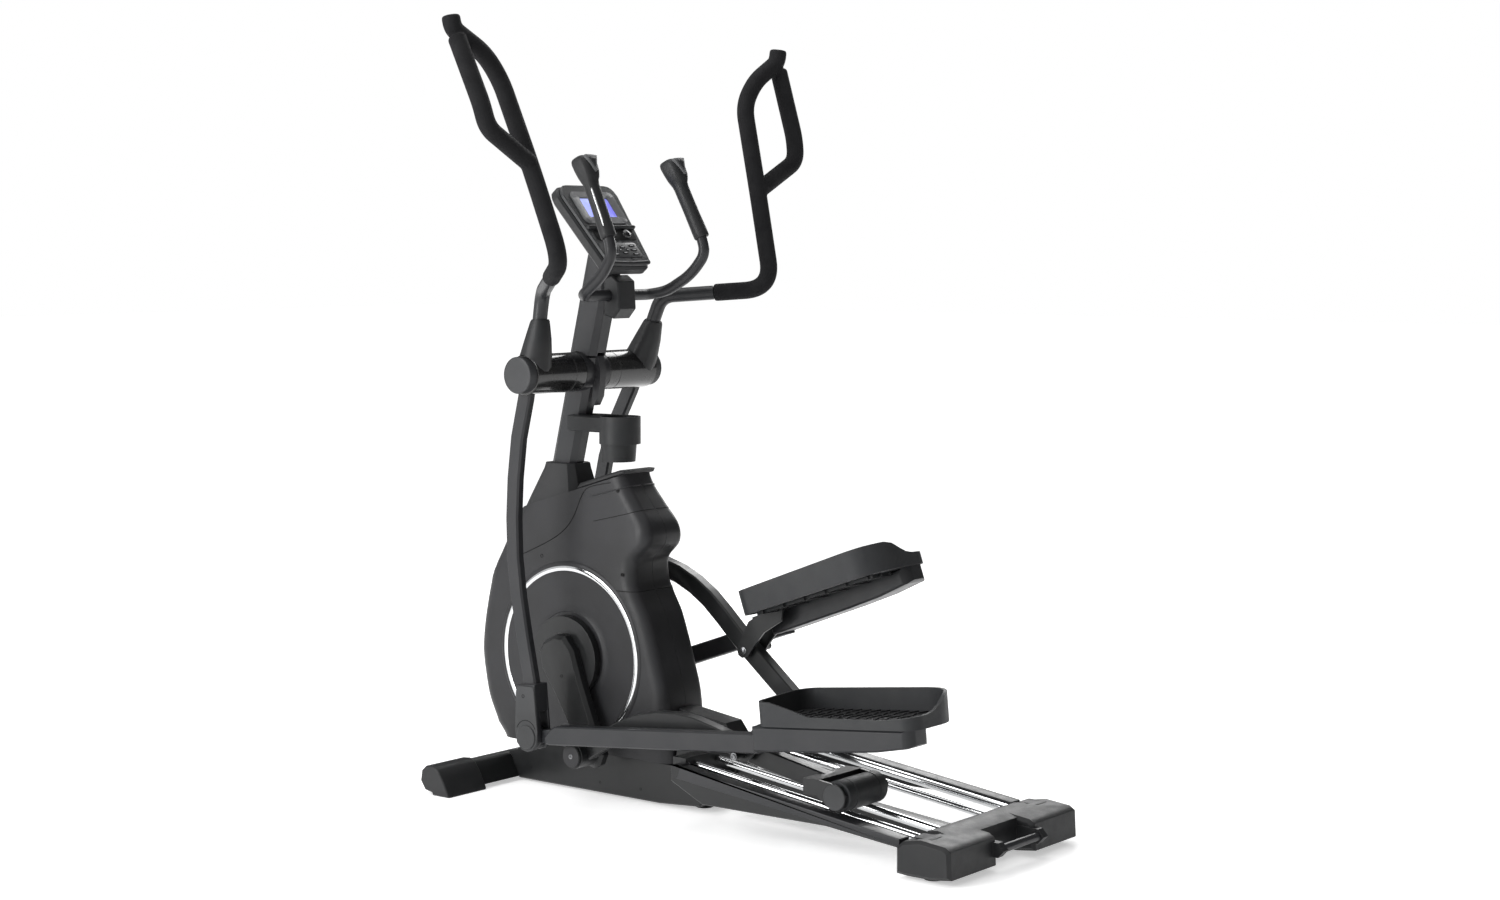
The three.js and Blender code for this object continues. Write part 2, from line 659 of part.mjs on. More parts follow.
function buildDrive() {
  piece(machine, 'crank_pulley', unite(
    axleX(0.3 - CRANK_X[0], CRANK_X[0] - 0.3, CRANK.y, CRANK.z, 14, 20),
    axleX(DRIVE_X[0], DRIVE_X[1], CRANK.y, CRANK.z, PULLEY_R, 40),
  ), 'iron');
  for (const side of ['left', 'right']) {
    const turn = side === 'left' ? CRANK_ANGLE : CRANK_ANGLE + Math.PI;
    const g = sideGroup(CRANK.y, CRANK.z, turn);
    const arm = slabX([
      [-52, -20], [-38, -44], [0, -54], [70, -44], [190, -34], [CRANK.r + 20, -30],
      [CRANK.r + 36, -10], [CRANK.r + 36, 10], [CRANK.r + 20, 30], [190, 34], [70, 44],
      [0, 54], [-38, 44], [-52, 20],
    ], CRANK_X[0], CRANK_X[1], 8);
    const hubDisc = axleX(79, CRANK_X[0] + 6, 0, 0, 96, 28);
    const bore = axleX(70, CRANK_X[0] - 0.1, 0, 0, 14.4, 24);
    sidePiece(g, side, 'crank_arm', cut(unite(arm, hubDisc), bore), 'plastic');
  }
  piece(machine, 'drive_belt', cut(
    slabX(beltOutline(3.4), DRIVE_X[0] + 1, DRIVE_X[1] - 1),
    slabX(beltOutline(0.5), DRIVE_X[0] - 5, DRIVE_X[1] + 5),
  ), 'rubber');
  piece(machine, 'flywheel', unite(
    axleX(28, 48, FLYWHEEL.y, FLYWHEEL.z, FLYWHEEL.r, 40),
    axleX(DRIVE_X[0], DRIVE_X[1], FLYWHEEL.y, FLYWHEEL.z, FLYWHEEL.pulley, 24),
    axleX(-52, 52, FLYWHEEL.y, FLYWHEEL.z, 8, 16),
  ), 'iron');
  const arcAt = (r, from, to, n) => Array.from({ length: n + 1 }, (_, i) => {
    const t = (from + ((to - from) * i) / n) * RAD;
    return [FLYWHEEL.y + r * Math.cos(t), FLYWHEEL.z + r * Math.sin(t)];
  });
  piece(machine, 'brake_magnet', slabX([
    ...arcAt(FLYWHEEL.r + 3, 150, 214, 8), ...arcAt(FLYWHEEL.r + 17, 214, 150, 8),
  ], 24, 52), 'steel');
}

// ---------------------------------------------------------------- swing arms, drawn hanging straight down
const ARM_LINE = [
  { d: 30, y: 6, x: 184 }, { d: 53, y: 11, x: 184 }, { d: 140, y: 36, x: 184 },
  { d: 232, y: 50, x: 185 }, { d: 320, y: 54, x: 189 }, { d: 410, y: 49, x: 195 },
  { d: 500, y: 36, x: 200 }, { d: 590, y: 18, x: 204 }, { d: 700, y: -3, x: 205 },
];

function armRing({ d, y, x }, i) {
  const a = ARM_LINE[Math.max(i - 1, 0)];
  const b = ARM_LINE[Math.min(i + 1, ARM_LINE.length - 1)];
  const len = Math.hypot(b.y - a.y, b.d - a.d);
  const ty = (b.d - a.d) / len;
  const tz = (b.y - a.y) / len;
  const [hx, hy, c] = [11, 18.5, 4];
  return [
    [-hx, -hy + c], [-hx + c, -hy], [hx - c, -hy], [hx, -hy + c],
    [hx, hy - c], [hx - c, hy], [-hx + c, hy], [-hx, hy - c],
  ].map(([u, v]) => [x + u, y + v * ty, -d + v * tz]);
}

const HANDLE_TILT = -POSE.left.armAngle;
const STEM = [
  [175, -18, 1022], [175, -26, 1088], [176, -36, 1144], [327, -230, 1213], [321, -140, 1412],
];
const LOOP_TOP = [[318, -50, 1599], [354, -38, 1654], [437, -27, 1702]];
const TIP = [439, -22, 1731];
const LOOP_OUT = [[321, -137, 1420], [445, -133, 1492], [445, -117, 1540], [436, -36, 1686]];

// the handle was laid out with the arm at HANDLE_TILT; take it back to hanging straight down
function handleFrame(geometry) {
  return geometry.translate(0, 0, -ARM_AXIS_Z).rotateX(HANDLE_TILT);
}

function buildSwingArm(side) {
  const g = sideGroup(0, ARM_AXIS_Z, POSE[side].armAngle);
  const hub = cut(
    unite(
      axleX(HUB_INNER_X, HUB_OUTER_X - 20, 0, 0, HUB_R, 24),
      axleX(HUB_OUTER_X - 21, HUB_OUTER_X + 3, 0, 0, 41, 24),
    ),
    axleX(HUB_INNER_X - 5, 219.4, 0, 0, AXLE_R + 0.4, 24),
  );
  sidePiece(g, side, 'arm_hub', hub, 'tube');

  const hubRoom = axleX(20, 240, 0, 0, HUB_R + GAP, 24);
  const stemFoamSplit = 0.47;
  const a = new THREE.Vector3(...STEM[2]);
  const b = new THREE.Vector3(...STEM[3]);
  const split = a.clone().lerp(b, stemFoamSplit);
  const away = b.clone().sub(a).normalize();
  const stemEnd = split.clone().addScaledVector(away, -GAP).toArray();
  const stem = bentTube([...STEM.slice(0, 3), stemEnd], 16.5, 44, 12, 8);
  sidePiece(g, side, 'handle_stem', handleFrame(stem), 'tube');

  const foamMain = bentTube([split.toArray(), STEM[3], STEM[4], ...LOOP_TOP, TIP], 20.5, 64, 24, 8);
  const foamOut = bentTube(LOOP_OUT, 20.5, 44, 11, 8);
  sidePiece(g, side, 'handle_foam', handleFrame(unite(foamMain, foamOut)), 'foam');

  const sx = 175;
  const socketRing = (z, y, rx, ry) => Array.from({ length: 12 }, (_, k) => {
    const t = (k / 12) * 2 * Math.PI;
    return [sx + rx * Math.cos(t), y + ry * Math.sin(t), z];
  });
  const socket = handleFrame(loft([
    socketRing(968, -6, 38, 40), socketRing(1000, -12, 36, 38), socketRing(1040, -20, 30, 31),
    socketRing(1078, -26, 22.5, 22.5), socketRing(1083, -27, 20, 20),
  ]));
  const stemRoom = handleFrame(bentTube([[175, -16, 1008], ...STEM.slice(1, 3)], 17.4, 44, 6, 8));
  sidePiece(g, side, 'arm_socket', cut(socket, hubRoom, stemRoom), 'plastic');

  const bar = loft(ARM_LINE.map(armRing));
  const jointPlate = (x0, x1) => slabX([
    [-27, -690], [27, -690], [33, 16 - SWING_R], [31, -10 - SWING_R], [18, -28 - SWING_R],
    [0, -33 - SWING_R], [-18, -28 - SWING_R], [-31, -10 - SWING_R], [-33, 16 - SWING_R],
  ], x0, x1, 2);
  const head = slabX([[-27, -686], [27, -690], [32, -748], [-30, -748]], 184, 226, 2);
  sidePiece(g, side, 'lower_arm', cut(
    unite(bar, jointPlate(213.6, 228), jointPlate(183.2, 190.6), head), hubRoom,
  ), 'tube');
}

// -------------------------------------- foot links, drawn level with the joint at the origin
function buildFootLink(side) {
  const p = POSE[side];
  const g = sideGroup(p.joint.y, p.joint.z, p.footAngle);
  const tube = slabX([
    [-46, -16], [-45, 0], [-66, 18], [-78, 23.5], [-650, 23.5], [-650, -18], [-60, -18],
  ], FOOT_X[0], FOOT_X[1], 3);
  const eye = axleX(191, 213.2, 0, 0, 24, 24);
  const neck = slabX([[0, -14], [0, 12], [-64, 16], [-64, -14]], 191, 213.2);
  const tray = common(slabX([
    [-640, -13], [-640, 39.7], [-1040, 39.7], [-1040, 9], [-1030, 4], [-952, -5], [-860, -9],
    [-704, -12],
  ], 148, 224, 4), slabZ(roundedRect(147, 225, -1041, -600, 30), -30, 60));
  sidePiece(g, side, 'foot_link', unite(tube, eye, neck, tray), 'tube');
  const trayRoom = box([147.7, 230], [-1060, -639.7], [-15, 60]);

  const [x0, x1] = PEDAL_X;
  const plan = (i) => pedalPlan(x0 + i, x1 - i, -1052 + i, -648 - i, 36 - i, 90 - i);
  const blank = slabZ(plan(0), 40, 110);
  const well = slabZ(plan(7), 49, 140);
  const outerCut = slabX([
    [-640, 92], [-690, 90], [-735, 78], [-790, 62], [-970, 60], [-1020, 64], [-1110, 74],
    [-1110, 150], [-640, 150],
  ], x1 - 36, x1 + 10);
  const slope = (y0, y1, line) => {
    const pts = [...line, [x1 + 5, 160], [x0 - 5, 160]];
    const m = new THREE.Matrix4().makeBasis(
      new THREE.Vector3(1, 0, 0), new THREE.Vector3(0, 0, 1), new THREE.Vector3(0, -1, 0),
    );
    return extrude(outline(pts), y1 - y0, 0).applyMatrix4(m).translate(0, y1, 0);
  };
  const frontCut = slope(-690, -640, [[x0 - 5, 98], [x1 + 5, 90]]);
  const rearCut = slope(-1100, -1006, [
    [x0 - 5, 103], [x0 + 52, 101], [x0 + 72, 95], [x0 + 92, 82], [x0 + 112, 72], [x0 + 132, 68], [x1 + 5, 66],
  ]);
  const topCut = slabX([[-640, 95], [-1100, 104], [-1100, 160], [-640, 160]], x0 - 5, x1 + 5);
  sidePiece(g, side, 'pedal', cut(blank, well, outerCut, frontCut, rearCut, topCut), 'pedal');

  const mat = slabZ(pedalPlan(x0 + 9, x1 - 9, -1043, -657, 27, 81), 49.3, 52.5);
  const ribs = Array.from({ length: 8 }, (_, i) => {
    const y = -980 + i * 40;
    return box([x0 + 24, x1 - 24], [y, y + 11], [51, 55]);
  });
  sidePiece(g, side, 'pedal_mat', unite(mat, ...ribs), 'rubber');

  const pivotY = -FOOT_PIVOT_DIST * Math.cos(FOOT_TILT);
  const pivotZ = -FOOT_PIVOT_DIST * Math.sin(FOOT_TILT);
  const cheek = (xa, xb) => slabX([
    [pivotY + 16, pivotZ + 8], [pivotY + 17, pivotZ - 6], [pivotY + 9, pivotZ - 15],
    [pivotY - 9, pivotZ - 16], [pivotY - 30, pivotZ], [-644, -4], [-700, 8], [-716, 39.7],
    [-652, 39.7], [pivotY - 36, 30],
  ], xa, xb);
  const web = box([114, 147.7], [-712, -660], [33, 39.7]);
  const sill = box([114, 184], [-639.4, -624], [28, 37]);
  const pin = axleX(115, 207, pivotY, pivotZ, 8.6, 16);
  sidePiece(g, side, 'pedal_bracket', cut(
    unite(cheek(114, 120), cheek(170, 176), web, sill, pin), trayRoom,
  ), 'coat');
}

// ---------------------------------------------------------------- roller arms, drawn with the chord level
const ROD_LINE = [
  [52, 8], [160, 31], [266.5, 54], [320, 68], [370, 82], [420, 94], [470, 99], [520, 97],
  [575, 86], [628, 65], [676, 40], [718, 17], [749.5, 0],
];

function buildRollerArm(side) {
  const p = POSE[side];
  const g = sideGroup(p.roller.y, p.roller.z, p.rodAngle);
  const bar = slabX(barOutline(ROD_LINE, 42), ROD_X[0], ROD_X[1], 3);
  const boss = axleX(122.4, 178, ROD_LENGTH, 0, 29, 24);
  const cap = axleX(177, 182.6, ROD_LENGTH, 0, 25, 24);
  const yoke = box([63, 214], [40, 80], [-1, 32]);
  const cheek = (x0, x1) => slabX([
    [-20, -20], [0, -28], [20, -20], [46, -1], [78, 10], [78, 30], [44, 32], [10, 27], [-14, 24],
    [-28, 6],
  ], x0, x1);
  const axle = axleX(64, 213, 0, 0, 8, 16);
  const bore = axleX(60, 220, FOOT_PIVOT_ON_ROD.along, FOOT_PIVOT_ON_ROD.up, 9.5, 20);
  sidePiece(g, side, 'roller_arm', cut(
    unite(bar, boss, cap, yoke, cheek(63, 70), cheek(207, 214), axle), bore,
  ), 'coat');
  const wheel = cut(
    axleX(72, 205, 0, 0, ROLLER_R, 32),
    axleX(60, 220, 0, 0, 8.5, 16),
  );
  sidePiece(g, side, 'roller', wheel, 'rubber');
}

// ---------------------------------------------------------------- assembly
buildBase();
buildStabilizer();
buildRails();
buildRearCover();
buildFeet();
buildMast();
buildCollar();
buildConsole();
buildFixedBar();
buildBottleHolder();
buildHousing();
buildDrive();
for (const side of ['left', 'right']) {
  buildSwingArm(side);
  buildFootLink(side);
  buildRollerArm(side);
}

// bring the middle of the bounding box over the origin, resting on the floor
root.updateMatrixWorld(true);
const bounds = new THREE.Box3().setFromObject(root, true);
const centre = bounds.getCenter(new THREE.Vector3());
machine.position.set(-centre.x, -centre.y, -bounds.min.z);
root.updateMatrixWorld(true);

export default root;
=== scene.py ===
import math

import bmesh
import bpy
from mathutils import Matrix, Vector


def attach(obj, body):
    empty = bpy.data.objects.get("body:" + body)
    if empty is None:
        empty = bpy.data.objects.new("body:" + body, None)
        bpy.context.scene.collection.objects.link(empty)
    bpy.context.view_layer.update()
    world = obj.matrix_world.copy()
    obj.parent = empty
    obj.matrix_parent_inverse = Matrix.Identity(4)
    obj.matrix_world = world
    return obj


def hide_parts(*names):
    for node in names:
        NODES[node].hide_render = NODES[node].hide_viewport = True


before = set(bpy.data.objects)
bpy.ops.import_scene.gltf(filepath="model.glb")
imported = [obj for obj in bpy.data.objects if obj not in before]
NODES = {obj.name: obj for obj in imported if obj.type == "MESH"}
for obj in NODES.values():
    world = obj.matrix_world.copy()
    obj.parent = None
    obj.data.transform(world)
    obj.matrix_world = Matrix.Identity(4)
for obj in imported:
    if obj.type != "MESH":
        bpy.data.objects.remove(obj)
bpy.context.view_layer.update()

SIDES = ("left", "right")

# ------------------------------------------------------------------ places
# Lengths below are in millimetres in the machine's own drawing, whose Y runs 459 mm behind the row frame.
MACHINE_Y = 459.0
HUB_Z = 960.0
CRANK_Y, CRANK_Z, CRANK_R = -17.0, 314.0, 223.0


def turned(y, z, degrees):
    """The place of a group whose origin is at (y, z), turned about X."""
    return Matrix.Translation((0, y, z)) @ Matrix.Rotation(math.radians(degrees), 4, "X")


WHOLE = Matrix.Identity(4)
ARM = {"left": turned(0, HUB_Z, -1.84), "right": turned(0, HUB_Z, 12.89)}
HANDLE = {s: ARM[s] @ Matrix.Rotation(math.radians(1.84), 4, "X") @ Matrix.Translation((0, 0, -HUB_Z))
          for s in SIDES}
FOOT = {"left": turned(-25.9, 154.4, -5.53), "right": turned(179.9, 174.3, -19.58)}
ROD = {"left": turned(-867.5, 133.9, -1.445), "right": turned(-582.2, 169.8, 27.26)}
CRANK = {"left": turned(CRANK_Y, CRANK_Z, -117), "right": turned(CRANK_Y, CRANK_Z, 63)}
CONSOLE = Matrix.Translation((0, -72, 1292)) @ Matrix.Rotation(math.radians(51.5), 4, "X")
MIRROR = {"left": Matrix.Scale(-1, 4, (1, 0, 0)), "right": Matrix.Identity(4)}
TO_ROW = Matrix.Scale(0.001, 4) @ Matrix.Translation((0, MACHINE_Y, 0))


# ------------------------------------------------------------------ materials
def shader(name):
    m = bpy.data.materials.new(name)
    m.use_nodes = True
    return m, m.node_tree.nodes, m.node_tree.links, m.node_tree.nodes["Principled BSDF"]


def ramp(nodes, links, source, low, high, out_low, out_high):
    """Maps one number range to another."""
    n = nodes.new("ShaderNodeMapRange")
    n.inputs["From Min"].default_value = low
    n.inputs["From Max"].default_value = high
    n.inputs["To Min"].default_value = out_low
    n.inputs["To Max"].default_value = out_high
    links.new(source, n.inputs["Value"])
    return n.outputs["Result"]


def noise(nodes, links, coords, scale, detail=3.0, rough=0.5):
    n = nodes.new("ShaderNodeTexNoise")
    n.inputs["Scale"].default_value = scale
    n.inputs["Detail"].default_value = detail
    n.inputs["Roughness"].default_value = rough
    links.new(coords, n.inputs["Vector"])
    return n.outputs["Fac"]


def mixed(nodes, links, fac, a, b):
    n = nodes.new("ShaderNodeMix")
    n.data_type = "RGBA"
    links.new(fac, n.inputs["Factor"])
    for value, key in ((a, "A"), (b, "B")):
        socket = [i for i in n.inputs if i.name == key and i.type == "RGBA"][0]
        if isinstance(value, tuple):
            socket.default_value = (*value, 1)
        else:
            links.new(value, socket)
    return [o for o in n.outputs if o.type == "RGBA"][0]


def surface(name, dark, light, rough, grain, metal=0.0, patch=9.0, swing=0.07, edge_wear_and_highlight=0.25, coat=0.0,
            spec=0.3, stretch=None):
    """A painted, moulded or metal skin: cloudy colour, fine grain, uneven gloss and paler edges, which are part edge
    wear and part painted highlight.
    grain is (cells per metre, strength, depth in metres, kind)."""
    m, nodes, links, bsdf = shader(name)
    place = nodes.new("ShaderNodeTexCoord").outputs["Object"]
    if stretch:
        turn = nodes.new("ShaderNodeMapping")
        turn.inputs["Scale"].default_value = stretch
        links.new(place, turn.inputs["Vector"])
        place = turn.outputs["Vector"]
    cloud = noise(nodes, links, place, patch, 4)
    colour = mixed(nodes, links, ramp(nodes, links, cloud, 0.35, 0.65, 0, 1), dark, light)
    # Paler rims found from a bevel normal: part edge wear, part painted highlight standing in for light caught on
    # rounded edges.
    if edge_wear_and_highlight:
        bevel = nodes.new("ShaderNodeBevel")
        bevel.samples = 3
        bevel.inputs["Radius"].default_value = 0.0014
        geometry = nodes.new("ShaderNodeNewGeometry")
        dot = nodes.new("ShaderNodeVectorMath")
        dot.operation = "DOT_PRODUCT"
        links.new(bevel.outputs["Normal"], dot.inputs[0])
        links.new(geometry.outputs["Normal"], dot.inputs[1])
        edge = ramp(nodes, links, dot.outputs["Value"], 0.995, 0.9, 0, edge_wear_and_highlight)
        worn_and_lit_edge = nodes.new("ShaderNodeMath")
        worn_and_lit_edge.operation = "MULTIPLY"
        links.new(edge, worn_and_lit_edge.inputs[0])
        links.new(ramp(nodes, links, noise(nodes, links, place, 60, 5, 0.7), 0.3, 0.7, 0.2, 1), worn_and_lit_edge.inputs[1])
        # The pale edge tone: painted highlight mixed with wear.
        pale = tuple(min(1.0, c * 2.6 + 0.05) for c in light)
        colour = mixed(nodes, links, worn_and_lit_edge.outputs["Value"], colour, pale)
    links.new(colour, bsdf.inputs["Base Color"])
    scuff = noise(nodes, links, place, 34, 6, 0.65)
    links.new(ramp(nodes, links, scuff, 0.3, 0.7, rough - swing, rough + swing), bsdf.inputs["Roughness"])
    cells, strength, depth, kind = grain
    if kind == "pores":
        fine = nodes.new("ShaderNodeTexVoronoi")
        fine.inputs["Scale"].default_value = cells
        links.new(place, fine.inputs["Vector"])
        height = fine.outputs["Distance"]
    else:
        height = noise(nodes, links, place, cells, 3, 0.55)
    bump = nodes.new("ShaderNodeBump")
    bump.inputs["Strength"].default_value = strength
    bump.inputs["Distance"].default_value = depth
    links.new(height, bump.inputs["Height"])
    links.new(bump.outputs["Normal"], bsdf.inputs["Normal"])
    bsdf.inputs["Metallic"].default_value = metal
    bsdf.inputs["Specular IOR Level"].default_value = spec
    if coat:
        bsdf.inputs["Coat Weight"].default_value = coat
        bsdf.inputs["Coat Roughness"].default_value = 0.12
    return m


def turned_metal(name, axis_y, axis_z):
    """Lathe-turned iron, with rings round an axle that runs along X."""
    m = surface(name, (0.23, 0.235, 0.24), (0.34, 0.345, 0.35), 0.34, (700, 0.2, 0.0002, "noise"), metal=1.0)
    nodes, links = m.node_tree.nodes, m.node_tree.links
    place = nodes.new("ShaderNodeTexCoord")
    move = nodes.new("ShaderNodeMapping")
    move.inputs["Location"].default_value = (0, -(axis_y + MACHINE_Y) / 1000, -axis_z / 1000)
    move.inputs["Scale"].default_value = (0, 1, 1)
    links.new(place.outputs["Object"], move.inputs["Vector"])
    rings = nodes.new("ShaderNodeTexWave")
    rings.wave_type = "RINGS"
    rings.rings_direction = "SPHERICAL"
    rings.inputs["Scale"].default_value = 160
    rings.inputs["Distortion"].default_value = 0.6
    links.new(move.outputs["Vector"], rings.inputs["Vector"])
    bsdf = nodes["Principled BSDF"]
    bump = nodes.new("ShaderNodeBump")
    bump.inputs["Strength"].default_value = 0.3
    bump.inputs["Distance"].default_value = 0.0003
    links.new(rings.outputs["Fac"], bump.inputs["Height"])
    links.new(bump.outputs["Normal"], bsdf.inputs["Normal"])
    return m


def lit_screen():
    """A backlit panel: pale blue to violet, with a faint pixel grid."""
    m, nodes, links, bsdf = shader("lit_screen")
    place = nodes.new("ShaderNodeTexCoord").outputs["Object"]
    split = nodes.new("ShaderNodeSeparateXYZ")
    links.new(place, split.inputs["Vector"])
    across = ramp(nodes, links, split.outputs["X"], -0.055, 0.055, 0, 1)
    base = mixed(nodes, links, across, (0.40, 0.46, 0.98), (0.16, 0.15, 0.62))
    glow = ramp(nodes, links, noise(nodes, links, place, 26, 2), 0.45, 0.7, 0, 0.5)
    base = mixed(nodes, links, glow, base, (0.62, 0.72, 1.0))
    grid = nodes.new("ShaderNodeTexChecker")
    grid.inputs["Scale"].default_value = 900
    links.new(place, grid.inputs["Vector"])
    faint = ramp(nodes, links, grid.outputs["Fac"], 0, 1, 0, 0.12)
    base = mixed(nodes, links, faint, base, (0.1, 0.1, 0.4))
    links.new(base, bsdf.inputs["Base Color"])
    links.new(base, bsdf.inputs["Emission Color"])
    bsdf.inputs["Emission Strength"].default_value = 0.75
    bsdf.inputs["Roughness"].default_value = 0.16
    return m


GREY = {
    "coat": surface("satin_black_coat", (0.008, 0.0085, 0.009), (0.011, 0.0115, 0.012), 0.38,
                    (420, 0.16, 0.0004, "noise"), coat=0.15),
    "tube": surface("charcoal_coat", (0.017, 0.018, 0.020), (0.023, 0.023, 0.025), 0.40,
                    (520, 0.15, 0.0004, "noise"), coat=0.1),
    "plastic": surface("black_moulding", (0.013, 0.014, 0.015), (0.019, 0.019, 0.020), 0.46,
                       (1500, 0.22, 0.0003, "noise"), edge_wear_and_highlight=0.2),
    "shell": surface("housing_moulding", (0.016, 0.016, 0.017), (0.020, 0.020, 0.022), 0.42,
                     (1300, 0.2, 0.0003, "noise"), edge_wear_and_highlight=0.2),
    "pedal": surface("pedal_moulding", (0.020, 0.021, 0.023), (0.027, 0.028, 0.029), 0.5,
                     (1100, 0.28, 0.0004, "pores"), edge_wear_and_highlight=0.3),
    "rubber": surface("black_rubber", (0.008, 0.008, 0.009), (0.013, 0.013, 0.014), 0.62,
                      (900, 0.3, 0.0004, "noise"), edge_wear_and_highlight=0.35),
    "foam": surface("grip_foam", (0.006, 0.006, 0.007), (0.009, 0.009, 0.010), 0.82,
                    (1900, 0.5, 0.0005, "pores"), patch=24, edge_wear_and_highlight=0.0, spec=0.22),
    "chrome": surface("polished_chrome", (0.62, 0.63, 0.64), (0.74, 0.75, 0.76), 0.13,
                      (90, 0.05, 0.0002, "noise"), metal=1.0, swing=0.05, edge_wear_and_highlight=0.0, stretch=(8, 1, 8)),
    "steel": surface("dark_steel", (0.16, 0.163, 0.17), (0.24, 0.243, 0.25), 0.32,
                     (260, 0.2, 0.0003, "noise"), metal=1.0, edge_wear_and_highlight=0.2, stretch=(1, 9, 9)),
    "face": surface("satin_bezel", (0.024, 0.025, 0.026), (0.030, 0.031, 0.033), 0.33,
                    (1700, 0.1, 0.0002, "noise"), edge_wear_and_highlight=0.15, coat=0.2),
    "gloss": surface("gloss_black", (0.007, 0.007, 0.008), (0.011, 0.011, 0.011), 0.24,
                     (240, 0.08, 0.0002, "noise"), edge_wear_and_highlight=0.2, coat=0.6),
    "cap": surface("cap_moulding", (0.030, 0.031, 0.032), (0.038, 0.039, 0.041), 0.5,
                   (1200, 0.2, 0.0003, "noise"), edge_wear_and_highlight=0.2),
    "pale": surface("pale_moulding", (0.110, 0.112, 0.115), (0.132, 0.134, 0.138), 0.45,
                    (1400, 0.16, 0.0003, "noise"), edge_wear_and_highlight=0.15),
    # Deep black for seams, grooves, slots and screw rims, and for painted shade in the console shelf.
    "void": surface("joints_and_painted_shade_black", (0.004, 0.004, 0.004), (0.008, 0.008, 0.008), 0.7,
                    (800, 0.2, 0.0002, "noise"), edge_wear_and_highlight=0.0, spec=0.2),
    "mark": surface("key_print", (0.48, 0.49, 0.50), (0.60, 0.61, 0.62), 0.55,
                    (1500, 0.1, 0.0001, "noise"), edge_wear_and_highlight=0.0),
    "screen": lit_screen(),
    "wheel_iron": turned_metal("turned_iron_flywheel", 50, 520),
    "pulley_iron": turned_metal("turned_iron_pulley", CRANK_Y, CRANK_Z),
}


# ------------------------------------------------------------------ mesh tools
def add(name, bm, place, side, body, look, smooth=38.0, stands_for=()):
    """Turns a bmesh drawn in millimetres into a piece at its place in the row frame."""
    matrix = TO_ROW @ place @ (MIRROR[side] if side else Matrix.Identity(4))
    bm.transform(matrix)
    bmesh.ops.remove_doubles(bm, verts=bm.verts, dist=1e-6)
    bmesh.ops.recalc_face_normals(bm, faces=bm.faces)
    limit = math.radians(smooth)
    for f in bm.faces:
        f.smooth = True
    for e in bm.edges:
        e.smooth = len(e.link_faces) == 2 and e.calc_face_angle(0) < limit
    mesh = bpy.data.meshes.new(name)
    bm.to_mesh(mesh)
    bm.free()
    obj = bpy.data.objects.new(name, mesh)
    bpy.context.scene.collection.objects.link(obj)
    obj.data.materials.append(GREY[look])
    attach(obj, body)
    if stands_for:
        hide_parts(*stands_for)
    return obj


def skin(rings, closed_ends=True, bm=None):
    """A closed skin over equal-length rings of points."""
    bm = bm or bmesh.new()
    rows = [[bm.verts.new(p) for p in ring] for ring in rings]
    n = len(rows[0])
    for a, b in zip(rows, rows[1:]):
        for i in range(n):
            bm.faces.new((a[i], a[(i + 1) % n], b[(i + 1) % n], b[i]))
    if closed_ends:
        bm.faces.new(list(reversed(rows[0])))
        bm.faces.new(rows[-1])
    return bm


def lathe(profile, axis="X", centre=(0, 0, 0), steps=64, bm=None):
    """Turns (along, radius) pairs round an axis; the profile starts and ends on the axis or closes as a ring."""
    cx, cy, cz = centre
    ring_shaped = profile[0][1] > 0.01
    rows = []
    bm = bm or bmesh.new()
    for along, r in profile:
        if r <= 0.01:
            rows.append([bm.verts.new((cx + along, cy, cz) if axis == "X" else (cx, cy, cz + along))])
            continue
        row = []
        for i in range(steps):
            t = 2 * math.pi * i / steps
            u, v = r * math.cos(t), r * math.sin(t)
            row.append(bm.verts.new((cx + along, cy + u, cz + v) if axis == "X" else (cx + u, cy + v, cz + along)))
        rows.append(row)
    pairs = list(zip(rows, rows[1:]))
    if ring_shaped:
        pairs.append((rows[-1], rows[0]))
    for a, b in pairs:
        for i in range(steps):
            j = (i + 1) % steps
            if len(a) == 1:
                bm.faces.new((a[0], b[j], b[i]))
            elif len(b) == 1:
                bm.faces.new((a[i], a[j], b[0]))
            else:
                bm.faces.new((a[i], a[j], b[j], b[i]))
    return bm


def drum(x0, x1, r, y, z, soft=1.5, steps=64, bm=None):
    """A turned drum along X with rounded rims and slightly dished faces."""
    return lathe([(x0 + 0.6, 0), (x0 + 0.6, r * 0.55), (x0, r - soft * 1.6), (x0 + soft * 0.3, r - soft * 0.4),
                  (x0 + soft, r), (x1 - soft, r), (x1 - soft * 0.3, r - soft * 0.4), (x1, r - soft * 1.6),
                  (x1 - 0.6, r * 0.55), (x1 - 0.6, 0)], "X", (0, y, z), steps, bm)


def bent(points, bend, spacing=6.0):
    """Points along straight runs joined by rounded corners."""
    v = [Vector(p) for p in points]
    out = []
    start = v[0]

    def line(a, b):
        n = max(1, int((b - a).length / spacing))
        out.extend(a.lerp(b, i / n) for i in range(n))

    for i in range(1, len(v) - 1):
        back, on = v[i - 1] - v[i], v[i + 1] - v[i]
        trim = min(bend, back.length * 0.48, on.length * 0.48)
        a, b = v[i] + back.normalized() * trim, v[i] + on.normalized() * trim
        line(start, a)
        n = max(6, int(2 * trim / spacing))
        for k in range(n):
            t = k / n
            out.append(a * (1 - t) ** 2 + v[i] * 2 * t * (1 - t) + b * t * t)
        start = b
    line(start, v[-1])
    out.append(v[-1])
    return out


